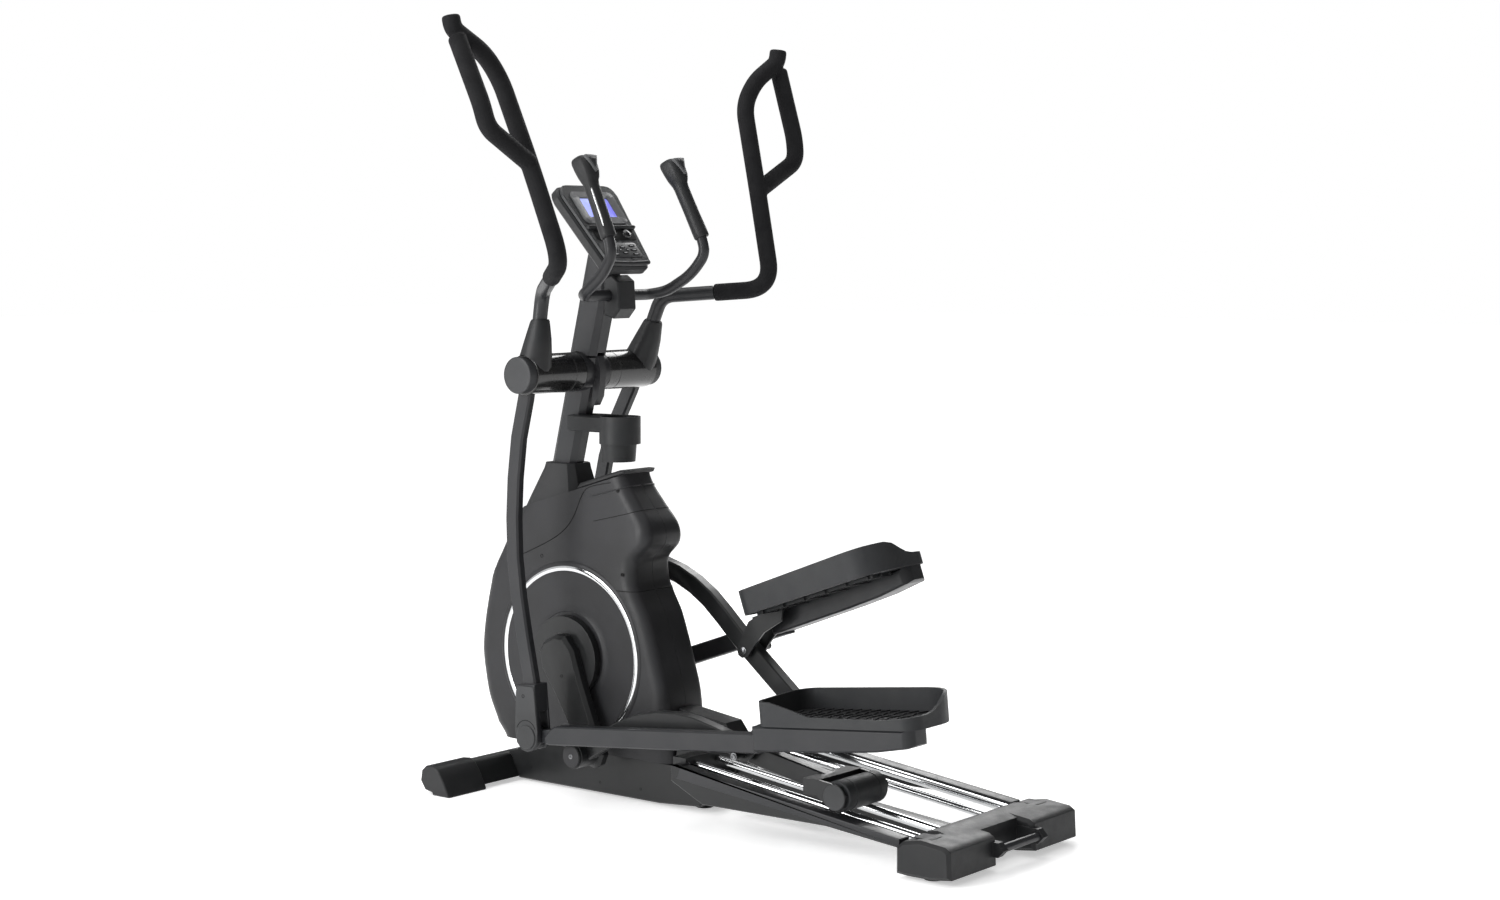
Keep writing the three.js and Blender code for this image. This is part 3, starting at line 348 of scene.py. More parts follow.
def sweep(path, radius, sides=40, round_end=4.0, bm=None):
    """A tube along a path, with rounded ends. radius is a number or a function of 0..1 along it."""
    count = len(path)
    radius_at = radius if callable(radius) else (lambda t: radius)
    normal = (path[1] - path[0]).orthogonal().normalized()
    frames = []
    for i, p in enumerate(path):
        t = (path[min(i + 1, count - 1)] - path[max(i - 1, 0)]).normalized()
        normal = (normal - t * normal.dot(t)).normalized()
        frames.append((p, t, normal.copy(), t.cross(normal)))

    def ring(centre, r, n, b):
        return [centre + (n * math.cos(a) + b * math.sin(a)) * r
                for a in (2 * math.pi * i / sides for i in range(sides))]

    steps = 5
    quarter = [math.pi / 2 * k / steps for k in range(steps + 1)]
    p, t, n, b = frames[0]
    rings = [ring(p + t * round_end * (1 - math.cos(a)), radius_at(0) - round_end * (1 - math.sin(a)), n, b)
             for a in quarter]
    for i, (q, _, n, b) in enumerate(frames):
        if min((q - frames[0][0]).length, (q - frames[-1][0]).length) > round_end:
            rings.append(ring(q, radius_at(i / (count - 1)), n, b))
    p, t, n, b = frames[-1]
    rings += [ring(p - t * round_end * (1 - math.cos(a)), radius_at(1) - round_end * (1 - math.sin(a)), n, b)
              for a in reversed(quarter)]
    return skin(rings, bm=bm)


def straight(a, b, step=12.0):
    a, b = Vector(a), Vector(b)
    n = max(2, int((b - a).length / step))
    return [a.lerp(b, i / n) for i in range(n + 1)]


def plate(points, low, high, axis="X", soft=1.0, bm=None):
    """An outline extruded along an axis, its rims rounded. Points are (y, z) for X and (x, y) for Z."""
    own = bmesh.new()
    put = (lambda p, d: (d, p[0], p[1])) if axis == "X" else (lambda p, d: (p[0], p[1], d))
    skin([[put(p, low) for p in points], [put(p, high) for p in points]], bm=own)
    bmesh.ops.recalc_face_normals(own, faces=own.faces)
    if soft:
        rims = [e for e in own.edges if e.calc_face_angle(0) > 0.5]
        bmesh.ops.bevel(own, geom=rims, offset=soft, segments=3, profile=0.5, affect="EDGES", clamp_overlap=True)
    if bm is None:
        return own
    keep = bpy.data.meshes.new("part")
    own.to_mesh(keep)
    own.free()
    bm.from_mesh(keep)
    bpy.data.meshes.remove(keep)
    return bm


def round_rect(x0, x1, y0, y1, r, steps=6):
    corners = [(x1 - r, y0 + r, -90), (x1 - r, y1 - r, 0), (x0 + r, y1 - r, 90), (x0 + r, y0 + r, 180)]
    return [(cx + r * math.cos(math.radians(a + 90 * k / steps)), cy + r * math.sin(math.radians(a + 90 * k / steps)))
            for cx, cy, a in corners for k in range(steps + 1)]


def circle(y, z, r, steps=40):
    return [(y + r * math.cos(2 * math.pi * i / steps), z + r * math.sin(2 * math.pi * i / steps))
            for i in range(steps)]


def smooth_line(points, per=6, closed=False):
    """A Catmull-Rom curve through the points."""
    v = [Vector(p) for p in points]
    n = len(v)
    out = []
    for i in range(n if closed else n - 1):
        if closed:
            a, b, c, d = (v[(i + k) % n] for k in (-1, 0, 1, 2))
        else:
            a, b, c, d = v[max(i - 1, 0)], v[i], v[i + 1], v[min(i + 2, n - 1)]
        for k in range(per):
            t = k / per
            out.append(0.5 * (2 * b + (c - a) * t + (2 * a - 5 * b + 4 * c - d) * t * t
                              + (3 * b - a - 3 * c + d) * t ** 3))
    if not closed:
        out.append(v[-1])
    return out


# ------------------------------------------------------------------ the CAD nodes that stay
def smoother():
    """A modifier that shades edges under 40 degrees smooth."""
    tree = bpy.data.node_groups.new("shade_by_angle", "GeometryNodeTree")
    tree.interface.new_socket("Geometry", in_out="INPUT", socket_type="NodeSocketGeometry")
    tree.interface.new_socket("Geometry", in_out="OUTPUT", socket_type="NodeSocketGeometry")
    new, link = tree.nodes.new, tree.links.new
    source, sink = new("NodeGroupInput"), new("NodeGroupOutput")
    angle = new("GeometryNodeInputMeshEdgeAngle")
    below = new("FunctionNodeCompare")
    below.data_type = "FLOAT"
    below.operation = "LESS_THAN"
    below.inputs["B"].default_value = math.radians(40)
    faces, edges = new("GeometryNodeSetShadeSmooth"), new("GeometryNodeSetShadeSmooth")
    faces.domain = "FACE"
    edges.domain = "EDGE"
    link(source.outputs[0], faces.inputs["Geometry"])
    link(faces.outputs["Geometry"], edges.inputs["Geometry"])
    link(angle.outputs["Unsigned Angle"], below.inputs["A"])
    link(below.outputs["Result"], edges.inputs["Shade Smooth"])
    link(edges.outputs["Geometry"], sink.inputs[0])
    return tree


SMOOTHER = smoother()


def refine(node, look, width=1.2, segments=2):
    """Gives a CAD node its material, rounded edges and smooth shading."""
    obj = NODES[node]
    obj.data.materials.clear()
    obj.data.materials.append(GREY[look])
    weld = obj.modifiers.new("weld", "WELD")
    weld.merge_threshold = 1e-5
    flat = obj.modifiers.new("flat", "DECIMATE")
    flat.decimate_type = "DISSOLVE"
    flat.angle_limit = math.radians(0.6)
    if width:
        bevel = obj.modifiers.new("bevel", "BEVEL")
        bevel.limit_method = "ANGLE"
        bevel.angle_limit = math.radians(32)
        bevel.width = width / 1000
        bevel.segments = segments
    shade = obj.modifiers.new("shade", "NODES")
    shade.node_group = SMOOTHER
    weight = obj.modifiers.new("weight", "WEIGHTED_NORMAL")
    weight.keep_sharp = True


KEPT = {
    "base_frame": ("coat", 2.0), "front_stabilizer": ("coat", 1.5), "rear_cover": ("plastic", 2.5),
    "mast": ("tube", 1.5), "upper_mast": ("tube", 1.5), "mast_collar": ("plastic", 2.0),
    "console_back": ("plastic", 2.0), "console_face": ("face", 1.0), "bar_clamp": ("plastic", 2.0),
    "bottle_holder": ("plastic", 1.2), "housing_top": ("plastic", 2.0), "brake_magnet": ("steel", 0.8),
    "drive_belt": ("rubber", 0), "crank_pulley": ("pulley_iron", 0.8), "flywheel": ("wheel_iron", 0.8),
}
KEPT_PAIRS = {
    "front_cap": ("plastic", 2.5), "crank_arm": ("coat", 2.0), "arm_socket": ("plastic", 1.5),
    "lower_arm": ("tube", 1.5), "foot_link": ("tube", 1.8), "pedal": ("pedal", 1.6),
    "pedal_bracket": ("coat", 1.0), "roller_arm": ("coat", 1.5),
}
for node, (look, width) in KEPT.items():
    refine(node, look, width)
for node, (look, width) in KEPT_PAIRS.items():
    for side in SIDES:
        refine(f"{node}_{side}", look, width)


# ------------------------------------------------------------------ small hardware
def screw(name, place, side, body, x, y, z, r=4.0, look="void"):
    """A sunk screw seen end on: a dark rim with a shallow round socket inside."""
    bm = lathe([(-0.4, 0), (-0.4, r), (0.5, r), (0.5, r * 0.72), (-0.1, r * 0.66), (-0.1, 0)],
               "X", (x, y, z), 28)
    return add(name, bm, place, side, body, look)


def hex_bolt(name, place, side, body, x, y, z, r=7.0, proud=4.0):
    """A bolt head on a washer, with a round socket sunk in it."""
    bm = lathe([(0, 0), (0, r * 1.35), (1.0, r * 1.35), (1.2, r), (proud - 0.8, r), (proud, r * 0.86),
                (proud, r * 0.55), (proud - 1.8, r * 0.5), (proud - 1.8, 0)], "X", (x, y, z), 36)
    return add(name, bm, place, side, body, "steel")


# ------------------------------------------------------------------ drive housing
LEVELS = [
    (100, -302, 212, 62), (135, -302, 232, 68), (199, -300, 254, 75), (254, -294, 266, 75),
    (304, -280, 272, 75), (367, -261, 266, 75), (425, -240, 254, 75), (477, -212, 241, 75),
    (500, -203, 231, 74), (545, -204, 207, 72), (583, -238, 187, 70), (622, -238, 165, 66),
    (665, -205, 138, 62), (712, -170, 116, 58), (752, -156, 104, 56),
]


def housing_ring(z, y0, y1, w, inset=0.0):
    """A level ring with rounded corners, starting at the middle of the rear."""
    y0, y1, w = y0 + inset, y1 - inset, w - inset
    ring = []
    for sx, cy, from_deg in ((1, y1 - 34, 0), (-1, y1 - 34, 90), (-1, y0 + 34, 180), (1, y0 + 34, 270)):
        for k in range(9):
            a = math.radians(from_deg + 90 * k / 8)
            ring.append(((w - 26) * sx + 26 * math.cos(a), cy + 34 * math.sin(a), z))
        if from_deg in (90, 270):
            other = (w * sx, (y0 + 34 if from_deg == 90 else y1 - 34), z)
            here = ring[-1]
            ring += [tuple(h + (o - h) * k / 12 for h, o in zip(here, other)) for k in range(1, 12)]
    return ring


def fine_levels(steps=6):
    """The housing's levels with a smooth curve put between them."""
    curve = smooth_line([level[1:] for level in LEVELS], steps)
    heights = [a[0] + (b[0] - a[0]) * k / steps for a, b in zip(LEVELS, LEVELS[1:]) for k in range(steps)]
    return [(z, c[0], c[1], min(c[2], 75)) for z, c in zip([*heights, LEVELS[-1][0]], curve)]


FINE = fine_levels()


def level_at(z):
    """(rear y, front y, half width) of the housing at a height."""
    for low, high in zip(FINE, FINE[1:]):
        if low[0] <= z <= high[0]:
            t = (z - low[0]) / (high[0] - low[0])
            return tuple(a + (b - a) * t for a, b in zip(low[1:], high[1:]))
    return FINE[-1][1:]


def round_the_back(height, start, proud=0.0, stop_x=0.0):
    """A line on the housing's skin from (side, y start) round the rear corner to the middle. height is z of y."""
    out = []
    y = start
    while True:
        rear, _, w = level_at(height(y))
        if y <= rear + 34:
            break
        out.append(Vector((w + proud, y, height(y))))
        y -= 5
    for k in range(13):
        a = math.pi / 2 * k / 12
        z = height(rear + 34 - 34 * math.sin(a))
        r0, _, w0 = level_at(z)
        out.append(Vector((w0 - 26 + (26 + proud) * math.cos(a), r0 + 34 - (34 + proud) * math.sin(a), z)))
    x = w0 - 30
    while x > stop_x:
        z = height(rear)
        out.append(Vector((x, level_at(z)[0] - proud, z)))
        x -= 5
    return out


def build_housing():
    for side, sign in (("left", -1), ("right", 1)):
        bm = skin([housing_ring(*level) for level in FINE])
        top = Vector((0, 0.3, 1)).normalized()
        for point, normal in (((0, -150, 733), top), ((0, 0, 100.4), Vector((0, 0, -1))),
                              ((0.5 * sign, 0, 0), Vector((-sign, 0, 0)))):
            geom = bm.verts[:] + bm.edges[:] + bm.faces[:]
            cut = bmesh.ops.bisect_plane(bm, geom=geom, dist=1e-4, plane_co=point, plane_no=normal,
                                         clear_outer=True)
            if normal is top:
                rim = [e for e in cut["geom_cut"] if isinstance(e, bmesh.types.BMEdge)]
                bmesh.ops.contextual_create(bm, geom=rim)
        hole = [f for f in bm.faces if abs(f.calc_center_median().x) > 60
                and math.hypot(f.calc_center_median().y - CRANK_Y, f.calc_center_median().z - CRANK_Z) < 26]
        bmesh.ops.delete(bm, geom=hole, context="FACES")
        shell = add(f"shell_{side}", bm, WHOLE, None, "frame", "shell", 34, (f"housing_{side}",))
        wall = shell.modifiers.new("wall", "SOLIDIFY")
        wall.thickness = 0.003
        wall.offset = -1
        detail_housing(side)


SEAM = [(129, 538), (51, 573), (7, 600), (-21, 633), (-45, 686), (-64, 703), (-100, 712), (-128, 717)]
HOUSING_SCREWS = [(70, 538, 72.3), (-71, 499, 75.2), (-176, 515, 74.4), (-172, 419, 75.2), (-150, 700, 58.8)]


def detail_housing(side):
    place = WHOLE
    dish = lathe([(74.2, 20), (74.2, 214), (75.2, 213), (76.6, 210.5), (77.3, 207), (77.3, 205.2), (76.2, 204.6),
                  (76.2, 192.6), (77.0, 192), (77.0, 189), (76.4, 180), (76.0, 120), (75.9, 104), (76.6, 102.5),
                  (76.6, 100.5), (75.6, 99.5), (75.6, 20)], "X", (0, CRANK_Y - 1, CRANK_Z + 4), 160)
    add(f"side_dish_{side}", dish, place, side, "frame", "shell", 30)
    ring = lathe([(75.9, 193.4), (75.9, 204.0), (77.2, 204.0), (77.9, 202.8), (78.1, 198.7), (77.9, 194.6),
                  (77.2, 193.4)], "X", (0, CRANK_Y - 1, CRANK_Z + 4), 160)
    add(f"side_ring_{side}", ring, place, side, "frame", "chrome", 30)
    line = [Vector((level_at(p.y)[2] + 0.1, p.x, p.y)) for p in smooth_line([(y, z, 0) for y, z in SEAM], 8)]
    add(f"side_seam_{side}", sweep(line, 1.0, 10, 0.4), place, side, "frame", "void")
    for name, height, start in (("rear_seam", lambda y: 478.0, -158), ("band_seam", lambda y: 628 - 0.235 * (y + 83), -83)):
        line = round_the_back(height, start, 0.1, 1.5)
        add(f"{name}_{side}", sweep(line, 0.8, 10, 0.4), place, side, "frame", "void")
    ridge = round_the_back(lambda y: 684 - 0.25 * (y + 72), -72, 0.2, 1.5)
    add(f"lid_ridge_{side}", sweep(ridge, 1.6, 12, 1.0), place, side, "frame", "shell")
    for i, (y, z, x) in enumerate(HOUSING_SCREWS):
        screw(f"housing_screw_{side}_{i}", place, side, "frame", x, y, z, 4.2)


build_housing()


# ------------------------------------------------------------------ base, feet, rails and wheels
def rail_z(y):
    return 106 + math.tan(math.radians(7.16)) * (y + 733.5)


for side in SIDES:
    for label, x in (("outer", 164), ("inner", 88)):
        ends = (Vector((x, -461.9, rail_z(-461.9))), Vector((x, -1056.6, rail_z(-1056.6))))
        add(f"guide_{label}_{side}", sweep(straight(*ends), 9, 48, 0.8), WHOLE, side, "frame", "chrome",
            stands_for=(f"rail_{label}_{side}",))
    rim = plate([(-463.5, 134), (-466, 140), (-465, 146.4), (-461, 148.4), (-450, 146.5), (-1034, 75.4), (-1034, 59),
                 (-452, 119), (-459, 122)], 188.6, 223.4, "X", 3.0)
    add(f"side_rail_{side}", rim, WHOLE, side, "frame", "tube", 40)
    tyre = lathe([(240, 0), (240, 8), (238.6, 9), (238.6, 12.4), (240, 14.2), (242, 15), (249.4, 15), (250, 14.2),
                  (252, 14.2), (252.6, 15), (260, 15), (262, 14.2), (263.4, 12.4), (263.4, 9), (262, 8), (262, 0)],
                 "X", (0, 232, 17), 56)
    lathe([(236.4, 0), (236.4, 3.5), (241, 3.5), (241, 0)], "X", (0, 232, 17), 24, tyre)
    lathe([(261, 0), (261, 3.5), (265.6, 3.5), (265.6, 0)], "X", (0, 232, 17), 24, tyre)
    add(f"castor_{side}", tyre, WHOLE, side, f"wheel_{side}", "rubber", stands_for=(f"transport_wheel_{side}",))
    pad = lathe([(0, 0), (0, 17), (0.8, 19.4), (2.0, 20), (4.6, 20), (5.6, 19), (6.0, 17), (6.0, 9), (7.7, 9),
                 (7.7, 0)], "Z", (197, -1099, 0), 48)
    add(f"levelling_foot_{side}", pad, WHOLE, side, "frame", "rubber", stands_for=(f"rear_foot_{side}",))
    boss = lathe([(49.2, 0), (49.2, 31), (50.8, 31), (51.4, 29.6), (51.0, 28), (50.8, 8), (50.8, 0)],
                 "X", (0, -332, 84), 64)
    add(f"base_boss_{side}", boss, WHOLE, side, "frame", "coat")
    for i, (y, z) in enumerate(((127, 37), (-207, 31), (-85, 30))):
        screw(f"base_screw_{side}_{i}", WHOLE, side, "frame", 50.0, y, z, 3.0)
    pane = plate(round_rect(176, 216, -1106, -1060, 5), 81.0, 83.4, "Z", 0.8)
    add(f"cover_inset_{side}", pane, WHOLE, side, "frame", "cap")

pad = lathe([(0, 0), (0, 17), (0.8, 19.4), (2.0, 20), (4.6, 20), (5.6, 19), (6.0, 17), (6.0, 9), (8.6, 9), (8.6, 0)],
            "Z", (8, -345, 0), 48)
add("middle_foot", pad, WHOLE, None, "frame", "rubber", stands_for=("centre_foot",))
grip = sweep(straight((-78.7, -1174, 47), (78.7, -1174, 47)), lambda t: 8.9, 40, 1.0)
add("lift_handle", grip, WHOLE, None, "frame", "tube", stands_for=("lift_rod",))

# ------------------------------------------------------------------ fixed bar, pulse grips, console
BAR = [(112, -98, 1134), (140, -128, 1142), (152, -190, 1180), (159, -226, 1228), (158, -212, 1272)]
bar_line = [(-x, y, z) for x, y, z in reversed(BAR)] + BAR
add("grab_bar", sweep(bent(bar_line, 40, 4), 12.4, 40, 2), WHOLE, None, "frame", "tube",
    stands_for=("fixed_bar",))

GRIP_LOW, GRIP_TOP = Vector((158, -212, 1272)), Vector((149, -137, 1424))


def build_grip(side):
    along = (GRIP_TOP - GRIP_LOW).normalized()
    u = (Vector((1, 0, 0)) - along * along.x).normalized()
    rear = along.cross(u).normalized()
    if rear.y > 0:
        rear = -rear

    def oval(d, ru, rv, shift=0.0, squareness=2.4):
        c = GRIP_LOW + along * d + rear * shift
        ring = []
        for i in range(40):
            a = 2 * math.pi * i / 40
            ca, sa = math.cos(a), math.sin(a)
            k = (abs(ca) ** squareness + abs(sa) ** squareness) ** (-1 / squareness)
            ring.append(c + u * ru * ca * k + rear * rv * sa * k)
        return ring

    top = (GRIP_TOP - GRIP_LOW).length
    body = skin([oval(-9, 13.6, 13.6), oval(-10, 15.2, 15.2), oval(-7, 16.6, 16.6), oval(2, 16.8, 16.8),
                 oval(60, 15.6, 16.2), oval(top - 56, 15.4, 16.6), oval(top - 46, 16.2, 17.6, 0.5, 2.6),
                 oval(top - 40, 17.6, 19.8, 1.5, 3), oval(top - 28, 20.6, 21.8, 1.8, 3.6), oval(top - 12, 22.4, 22.6, 1, 4),
                 oval(top + 4, 22.4, 22.4, -1, 4), oval(top + 11, 21.4, 19.4, -3, 3.8), oval(top + 14.6, 19, 16.4, -4.4, 3.4),
                 oval(top + 16, 14, 12, -5, 3)])
    add(f"grip_shell_{side}", body, WHOLE, side, "frame", "plastic", 50, (f"pulse_grip_{side}",))
    for name, look, start, stop, lift in (("sensor", "chrome", 25, 40, 17.3), ("sensor_slot", "void", 48, 60, 16.9)):
        rows = []
        count = 20
        for j in range(count + 1):
            t = j / count
            wide = math.sin(math.acos(max(-1, min(1, 1 - 2 * min(t, 1 - t) * count / 3)))) if min(t, 1 - t) < 1.5 / count else 1
            mid, half = math.radians((start + stop) / 2), math.radians((stop - start) / 2) * max(0.25, wide)
            d = 10 + (top - 74) * t
            rows.append([GRIP_LOW + along * d + (u * math.cos(a) + rear * math.sin(a)) * r
                         for a, r in ((mid - half, 15.6), (mid - half, lift - 0.5), (mid - half * 0.7, lift),
                                      (mid + half * 0.7, lift), (mid + half, lift - 0.5), (mid + half, 15.6),
                                      (mid, 14.8))])
        add(f"{name}_{side}", skin(rows), WHOLE, side, "frame", look, 45)
    # the sloping face that the rider sees, a rounded triangle with a pressed key in it
    corners = [(-15.5, 13), (15.5, 13), (17, 8), (3.4, -24), (0, -26.5), (-3.4, -24), (-17, 8)]
    outline = smooth_line([(a, b, 0) for a, b in corners], 5, closed=True)
    key = smooth_line([(a * 0.56, b * 0.56 - 1, 0) for a, b in corners], 5, closed=True)

    def wedge(points, lift_low, lift_high, shrink):
        def row(lift, k):
            return [GRIP_LOW + along * (top - 4 + p.y * k) + u * p.x * k + rear * lift for p in points]
        return skin([row(lift_low, 1), row(lift_high - 0.8, 1), row(lift_high, shrink)])

    add(f"grip_face_{side}", wedge(outline, 19.5, 26.6, 0.93), WHOLE, side, "frame", "pale", 50)
    add(f"grip_key_{side}", wedge(key, 26.5, 29.0, 0.9), WHOLE, side, f"button_{side}", "face", 50,
        (f"thumb_button_{side}",))


for side in SIDES:
    build_grip(side)


def on_console(name, bm, look, body="frame", stands_for=(), smooth=38.0):
    return add(name, bm, CONSOLE, None, body, look, smooth, stands_for)


# a raised frame round the window, wide above and narrow at the sides
outer = round_rect(-72, 72, 0, 92, 16, 8)
inner = round_rect(-47, 47, 20, 74, 5, 8)
frame_rows = [[(x, y, 1.0) for x, y in outer], [(x, y, 3.4) for x, y in outer],
              [(x * 0.985, 46 + (y - 46) * 0.975, 4.4) for x, y in outer],
              [(x * 1.04, 47 + (y - 47) * 1.05, 4.4) for x, y in inner], [(x, y, 3.2) for x, y in inner],
              [(x, y, 1.0) for x, y in inner]]
bezel = skin(frame_rows, closed_ends=False)
on_console("window_frame", bezel, "pale")
glass = skin([[(x * 1.18, 47 + (y - 47) * 1.25, z) for x, y in inner] for z in (-0.9, 1.15)])
on_console("screen_glass", glass, "screen", stands_for=("console_display",))
ledge = skin([[(x, y, z) for x, y in round_rect(-78, 78, -16 - g, -6 + g, 4, 5)]
              for z, g in ((1.8, 0.0), (6.5, 0.0), (8.5, -1.2), (9.0, -2.6))])
on_console("reading_ledge", ledge, "plastic")
# A flat deep-black sheet on the console face: painted shade for the hollow of the shelf, which is not modelled as a
# recess.
painted_trough_shade = plate(round_rect(-66, 66, -46, -18, 7), 1.9, 3.0, "Z", 0.4)
on_console("shelf_trough", painted_trough_shade, "void")
for i, x in enumerate((-38, 38)):
    stop = lathe([(2.2, 0), (2.2, 12), (6.0, 11.4), (9.0, 9), (10.4, 5), (10.8, 0)], "Z", (x, -30, 0), 40)
    on_console(f"shelf_stop_{i}", stop, "gloss")
pad = plate(round_rect(-51, 51, -95, -53, 7.5), 0.8, 2.9, "Z", 0.6)
on_console("key_panel", pad, "face", "keypad", ("console_keypad",))
KEYS = [(-34, -62, 12, 3.2), (-34, -74, 12, 3.2), (-34, -86, 12, 3.2), (0, -66, 8, 3.4), (0, -82, 8, 3.4),
        (-12, -74, 3.4, 3.4), (12, -74, 3.4, 3.4), (34, -62, 10, 3.2), (34, -74, 10, 3.2), (34, -86, 10, 3.2)]
for i, (x, y, w, h) in enumerate(KEYS):
    key = plate(round_rect(x - w, x + w, y - h, y + h, min(w, h) * 0.8), 2.7, 3.9, "Z", 0.5)
    on_console(f"key_{i}", key, "rubber", "keypad")
    dash = plate(round_rect(x - w * 0.55, x + w * 0.55, y - 0.7, y + 0.7, 0.5), 3.8, 4.05, "Z", 0)
    on_console(f"key_mark_{i}", dash, "mark", "keypad")
lip = sweep(smooth_line([(-64, -104, 0), (-56, -108, 0), (0, -110, 0), (56, -108, 0), (64, -104, 0)], 10), 5.5, 24, 3)
on_console("lower_lip", lip, "plastic")


# ------------------------------------------------------------------ moving arms
STEM = [(175, -18, 1022), (175, -26, 1088), (176, -36, 1144), (327, -230, 1213), (321, -140, 1412)]
LOOP_TOP = [(318, -50, 1599), (354, -38, 1654), (437, -27, 1702)]
TIP = (439, -22, 1731)
LOOP_OUT = [(321, -137, 1420), (445, -133, 1492), (445, -117, 1540), (436, -36, 1686)]


def build_arm(side):
    body = f"arm_{side}"
    a, b = Vector(STEM[2]), Vector(STEM[3])
    split = a.lerp(b, 0.47)
    stem_end = split - (b - a).normalized() * 0.3
    add(f"stem_{side}", sweep(bent([*STEM[:3], stem_end], 44, 4), 16.3, 40, 1), HANDLE[side], side, body, "tube",
        stands_for=(f"handle_stem_{side}",))
    foam = sweep(bent([split, STEM[3], STEM[4], *LOOP_TOP, TIP], 64, 4), 20.0, 40, 6)
    sweep(bent(LOOP_OUT, 44, 4), 20.0, 40, 6, foam)
    grip = add(f"foam_grip_{side}", foam, HANDLE[side], side, body, "foam", 70, (f"handle_foam_{side}",))
    for kind, name in (("REMESH", "join"), ("SMOOTH", "ease")):
        m = grip.modifiers.new(name, kind)
        if kind == "REMESH":
            m.mode = "VOXEL"
            m.voxel_size = 0.0024
            m.use_smooth_shade = True
        else:
            m.factor = 0.5
            m.iterations = 8

    # hub sleeve: two turned halves with a fine seam, a stepped collar and a flat end cap
    hub = lathe([(40, 12.6), (40, 43.6), (41.2, 45), (74, 45), (74.6, 44.2), (75.6, 44.2), (76.2, 45), (199, 45),
                 (200.4, 44), (200.9, 43), (200.9, 12.6)], "X", (0, 0, 0), 72)
    add(f"hub_sleeve_{side}", hub, ARM[side], side, body, "gloss", 30, (f"arm_hub_{side}",))
    end = lathe([(201.1, 0), (201.1, 41), (221.4, 41), (223.0, 39.8), (223.8, 37.4), (223.4, 30), (223.2, 0)],
                "X", (0, 0, 0), 72)
    add(f"hub_cap_{side}", end, ARM[side], side, body, "cap", 30)

    # joint cover at the arm's foot
    base = -806
    cover = plate([(-27, -700), (-22, -692), (22, -692), (28, -700), (31, -748), (34, base + 12), (30, base - 14),
                   (16, base - 29), (0, base - 33), (-16, base - 29), (-30, base - 14), (-34, base + 12),
                   (-30, -748)], 226.6, 229.2, "X", 1.4)
    add(f"joint_cover_{side}", cover, ARM[side], side, body, "cap", 38)
    groove = [Vector((229.1, 30.5 * math.cos(t), base + 6 + 32 * math.sin(t)))
              for t in (math.radians(25 + 130 * k / 24) for k in range(25))]
    add(f"joint_line_{side}", sweep(groove, 0.8, 10, 0.4), ARM[side], side, body, "void")
    disc = lathe([(228.8, 0), (228.8, 27), (231.2, 27), (232.2, 25.6), (232.0, 24), (231.6, 0)],
                 "X", (0, 0, base), 56)
    add(f"joint_disc_{side}", disc, ARM[side], side, body, "cap", 30)
    screw(f"joint_screw_{side}", ARM[side], side, body, 229.2, 6, -714, 4.0)


def build_foot(side):
    body = f"foot_{side}"
    mat = plate([(p.x, p.y) for p in (Vector(q) for q in pedal_plan(47, 216, -1043, -657, 27, 81))],
                49.3, 52.2, "Z", 0.8)
    tread = [mat]
    for i in range(15):
        y = -1012 + i * 24
        for j, (x, lean) in enumerate(((66, 8), (98, -8), (130, 8), (162, -8), (194, 8))):
            if (x < 80 and y < -985) or (x > 190 and (y < -1000 or y > -690)) or (x < 80 and y > -690):
                continue
            bar = [(x - 13, y - 3.2 - lean * 0.5), (x + 13, y - 3.2 + lean * 0.5), (x + 13, y + 3.2 + lean * 0.5),
                   (x - 13, y + 3.2 - lean * 0.5)]
            plate(bar, 51.8, 54.9, "Z", 0.7, mat)
    add(f"tread_{side}", mat, FOOT[side], side, body, "rubber", stands_for=(f"pedal_mat_{side}",))
    # ribs and rails under the hollow tray
    ribs = None
    for y in (-1000, -940, -880, -820, -760, -700):
        ribs = plate([(y - 1.6, 31), (y + 1.6, 31), (y + 1.6, 40.6), (y - 1.6, 40.6)], 58, 146, "X", 0.3, ribs)
    for x in (66, 100, 134):
        ribs = plate([(-1010, 33), (-680, 33), (-680, 40.6), (-1010, 40.6)], x - 1.6, x + 1.6, "X", 0.3, ribs)
    add(f"tray_ribs_{side}", ribs, FOOT[side], side, body, "plastic")
    pivot = -574.5
    y, z = pivot * math.cos(math.radians(2.8)), pivot * math.sin(math.radians(2.8))
    hex_bolt(f"bracket_bolt_in_{side}", FOOT[side] @ Matrix.Identity(4), side, body, 206.0, y, z, 6.0, 4.0)
    inner = lathe([(114.2, 0), (114.2, 8.2), (113.0, 8.2), (112.6, 6), (110.6, 6), (110, 5), (110, 0)],
                  "X", (0, y, z), 36)
    add(f"bracket_nut_{side}", inner, FOOT[side], side, body, "steel")


def pedal_plan(x0, x1, y0, y1, r, big):
    """A pedal from above: outer corners rounded by r, the inner rear one by big."""
    out = []
    for cx, cy, rad, start in ((x1 - r, y0 + r, r, -90), (x1 - r, y1 - r, r, 0), (x0 + r, y1 - r, r, 90),
                               (x0 + big, y0 + big, big, 180)):
        out += [(cx + rad * math.cos(math.radians(start + 9 * k)), cy + rad * math.sin(math.radians(start + 9 * k)), 0)
                for k in range(11)]
    return out


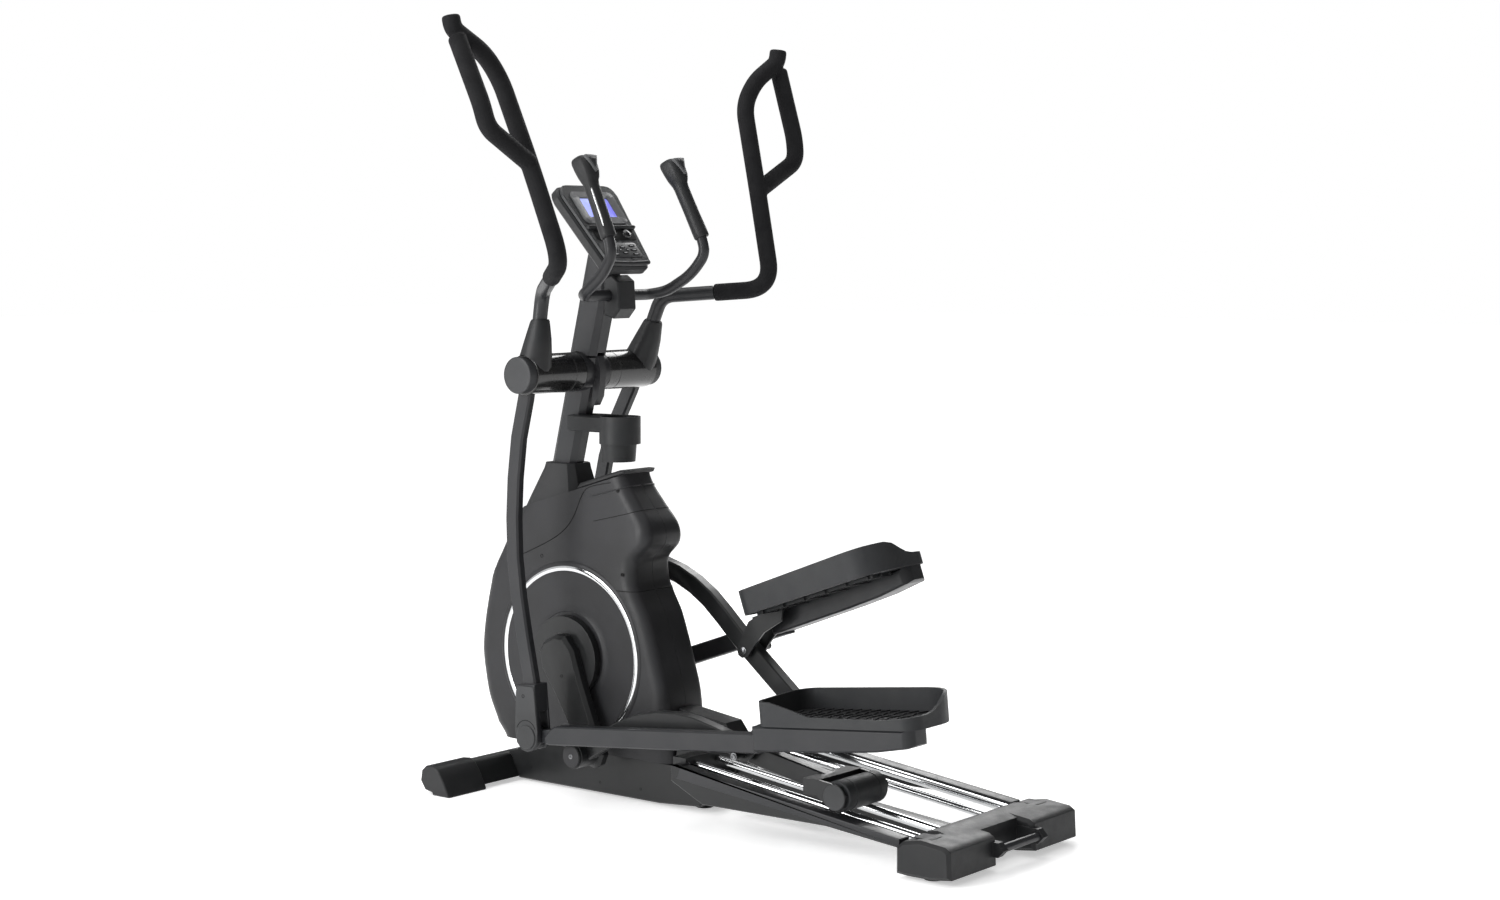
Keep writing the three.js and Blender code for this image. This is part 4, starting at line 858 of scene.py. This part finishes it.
def build_roller(side):
    shine = lathe([(72, 8.5), (72, 30.5), (73.6, 32.6), (75.4, 33), (96, 33), (97, 32), (99, 32), (100, 33),
                   (177, 33), (178, 32), (180, 32), (181, 33), (201.6, 33), (203.4, 32.6), (205, 30.5), (205, 8.5)],
                  "X", (0, 0, 0), 72)
    add(f"glide_roller_{side}", shine, ROD[side], side, f"roller_{side}", "pedal", 30, (f"roller_{side}",))
    cap = lathe([(213.7, 0), (213.7, 27), (216.0, 27), (217.2, 25.6), (216.8, 22), (216.6, 0)],
                "X", (0, 0, 0), 56)
    add(f"roller_cap_{side}", cap, ROD[side], side, f"link_{side}", "cap", 30)
    pin = lathe([(182.2, 0), (182.2, 24), (184.2, 23.4), (184.8, 21), (184.4, 9), (184.4, 0)],
                "X", (0, 749.5, 0), 56)
    add(f"pin_cap_{side}", pin, ROD[side], side, f"link_{side}", "shell", 30)
    hex_bolt(f"pin_screw_{side}", ROD[side], side, f"link_{side}", 184.0, 749.5, 0, 4.0, 2.2)
    screw(f"crank_screw_{side}", CRANK[side], side, "crank", 122.0, 40, 0, 3.6)


for side in SIDES:
    build_arm(side)
    build_foot(side)
    build_roller(side)

# ------------------------------------------------------------------ camera, light and floor
eye = bpy.data.cameras.new("eye")
camera = bpy.data.objects.new("eye", eye)
bpy.context.scene.collection.objects.link(camera)
YAW, PITCH = math.radians(51.65), math.radians(4.9)
gaze = Vector((math.sin(YAW) * math.cos(PITCH), math.cos(YAW) * math.cos(PITCH), -math.sin(PITCH)))
camera.location = (-4.214, -3.355, 1.266)
camera.rotation_euler = gaze.to_track_quat("-Z", "Y").to_euler()
eye.sensor_width = 36
eye.lens = 2491.9 / 1500 * 36
bpy.context.scene.camera = camera


def soft_light(name, where, towards, size, power):
    data = bpy.data.lights.new(name, "AREA")
    data.shape = "RECTANGLE"
    data.size, data.size_y = size
    data.energy = power
    obj = bpy.data.objects.new(name, data)
    obj.location = where
    obj.rotation_euler = (Vector(towards) - Vector(where)).to_track_quat("-Z", "Y").to_euler()
    bpy.context.scene.collection.objects.link(obj)


soft_light("side_window", (-3.8, 1.6, 2.0), (0, 0, 0.8), (2.2, 3.2), 150)
soft_light("overhead", (0.2, 0.4, 3.8), (0, 0, 0), (2.6, 2.6), 45)
soft_light("far_rim", (3.0, 1.2, 2.4), (0, 0, 0.9), (1.4, 2.4), 60)

world = bpy.data.worlds.new("studio")
world.use_nodes = True
sky, wires = world.node_tree.nodes, world.node_tree.links
heading = sky.new("ShaderNodeTexCoord")
facing = sky.new("ShaderNodeVectorMath")
facing.operation = "DOT_PRODUCT"
facing.inputs[1].default_value = Vector((-0.86, 0.36, 0.36)).normalized()
wires.new(heading.outputs["Generated"], facing.inputs[0])
dim = ramp(sky, wires, facing.outputs["Value"], -0.2, 1.0, 0.10, 0.80)
seen = sky.new("ShaderNodeLightPath")
backdrop = mixed(sky, wires, seen.outputs["Is Camera Ray"], dim, (1.0, 1.0, 1.0))
wires.new(backdrop, sky["Background"].inputs["Color"])
sky["Background"].inputs["Strength"].default_value = 1.0
bpy.context.scene.world = world
bpy.context.scene.view_settings.view_transform = "Standard"

floor_mesh = bmesh.new()
bmesh.ops.create_grid(floor_mesh, x_segments=8, y_segments=8, size=30)
data = bpy.data.meshes.new("floor")
floor_mesh.to_mesh(data)
floor_mesh.free()
floor = bpy.data.objects.new("floor", data)
bpy.context.scene.collection.objects.link(floor)
m, nodes, links, bsdf = shader("studio_floor")
place = nodes.new("ShaderNodeTexCoord").outputs["Object"]
links.new(mixed(nodes, links, noise(nodes, links, place, 1.5, 2), (0.93, 0.93, 0.93), (0.95, 0.95, 0.95)),
          bsdf.inputs["Base Color"])
bsdf.inputs["Emission Color"].default_value = (1, 1, 1, 1)
away = nodes.new("ShaderNodeVectorMath")
away.operation = "LENGTH"
links.new(place, away.inputs[0])
links.new(ramp(nodes, links, away.outputs["Value"], 1.5, 4.5, 0.45, 0.76), bsdf.inputs["Emission Strength"])
bsdf.inputs["Roughness"].default_value = 0.7
bsdf.inputs["Specular IOR Level"].default_value = 0.2
floor.data.materials.append(m)
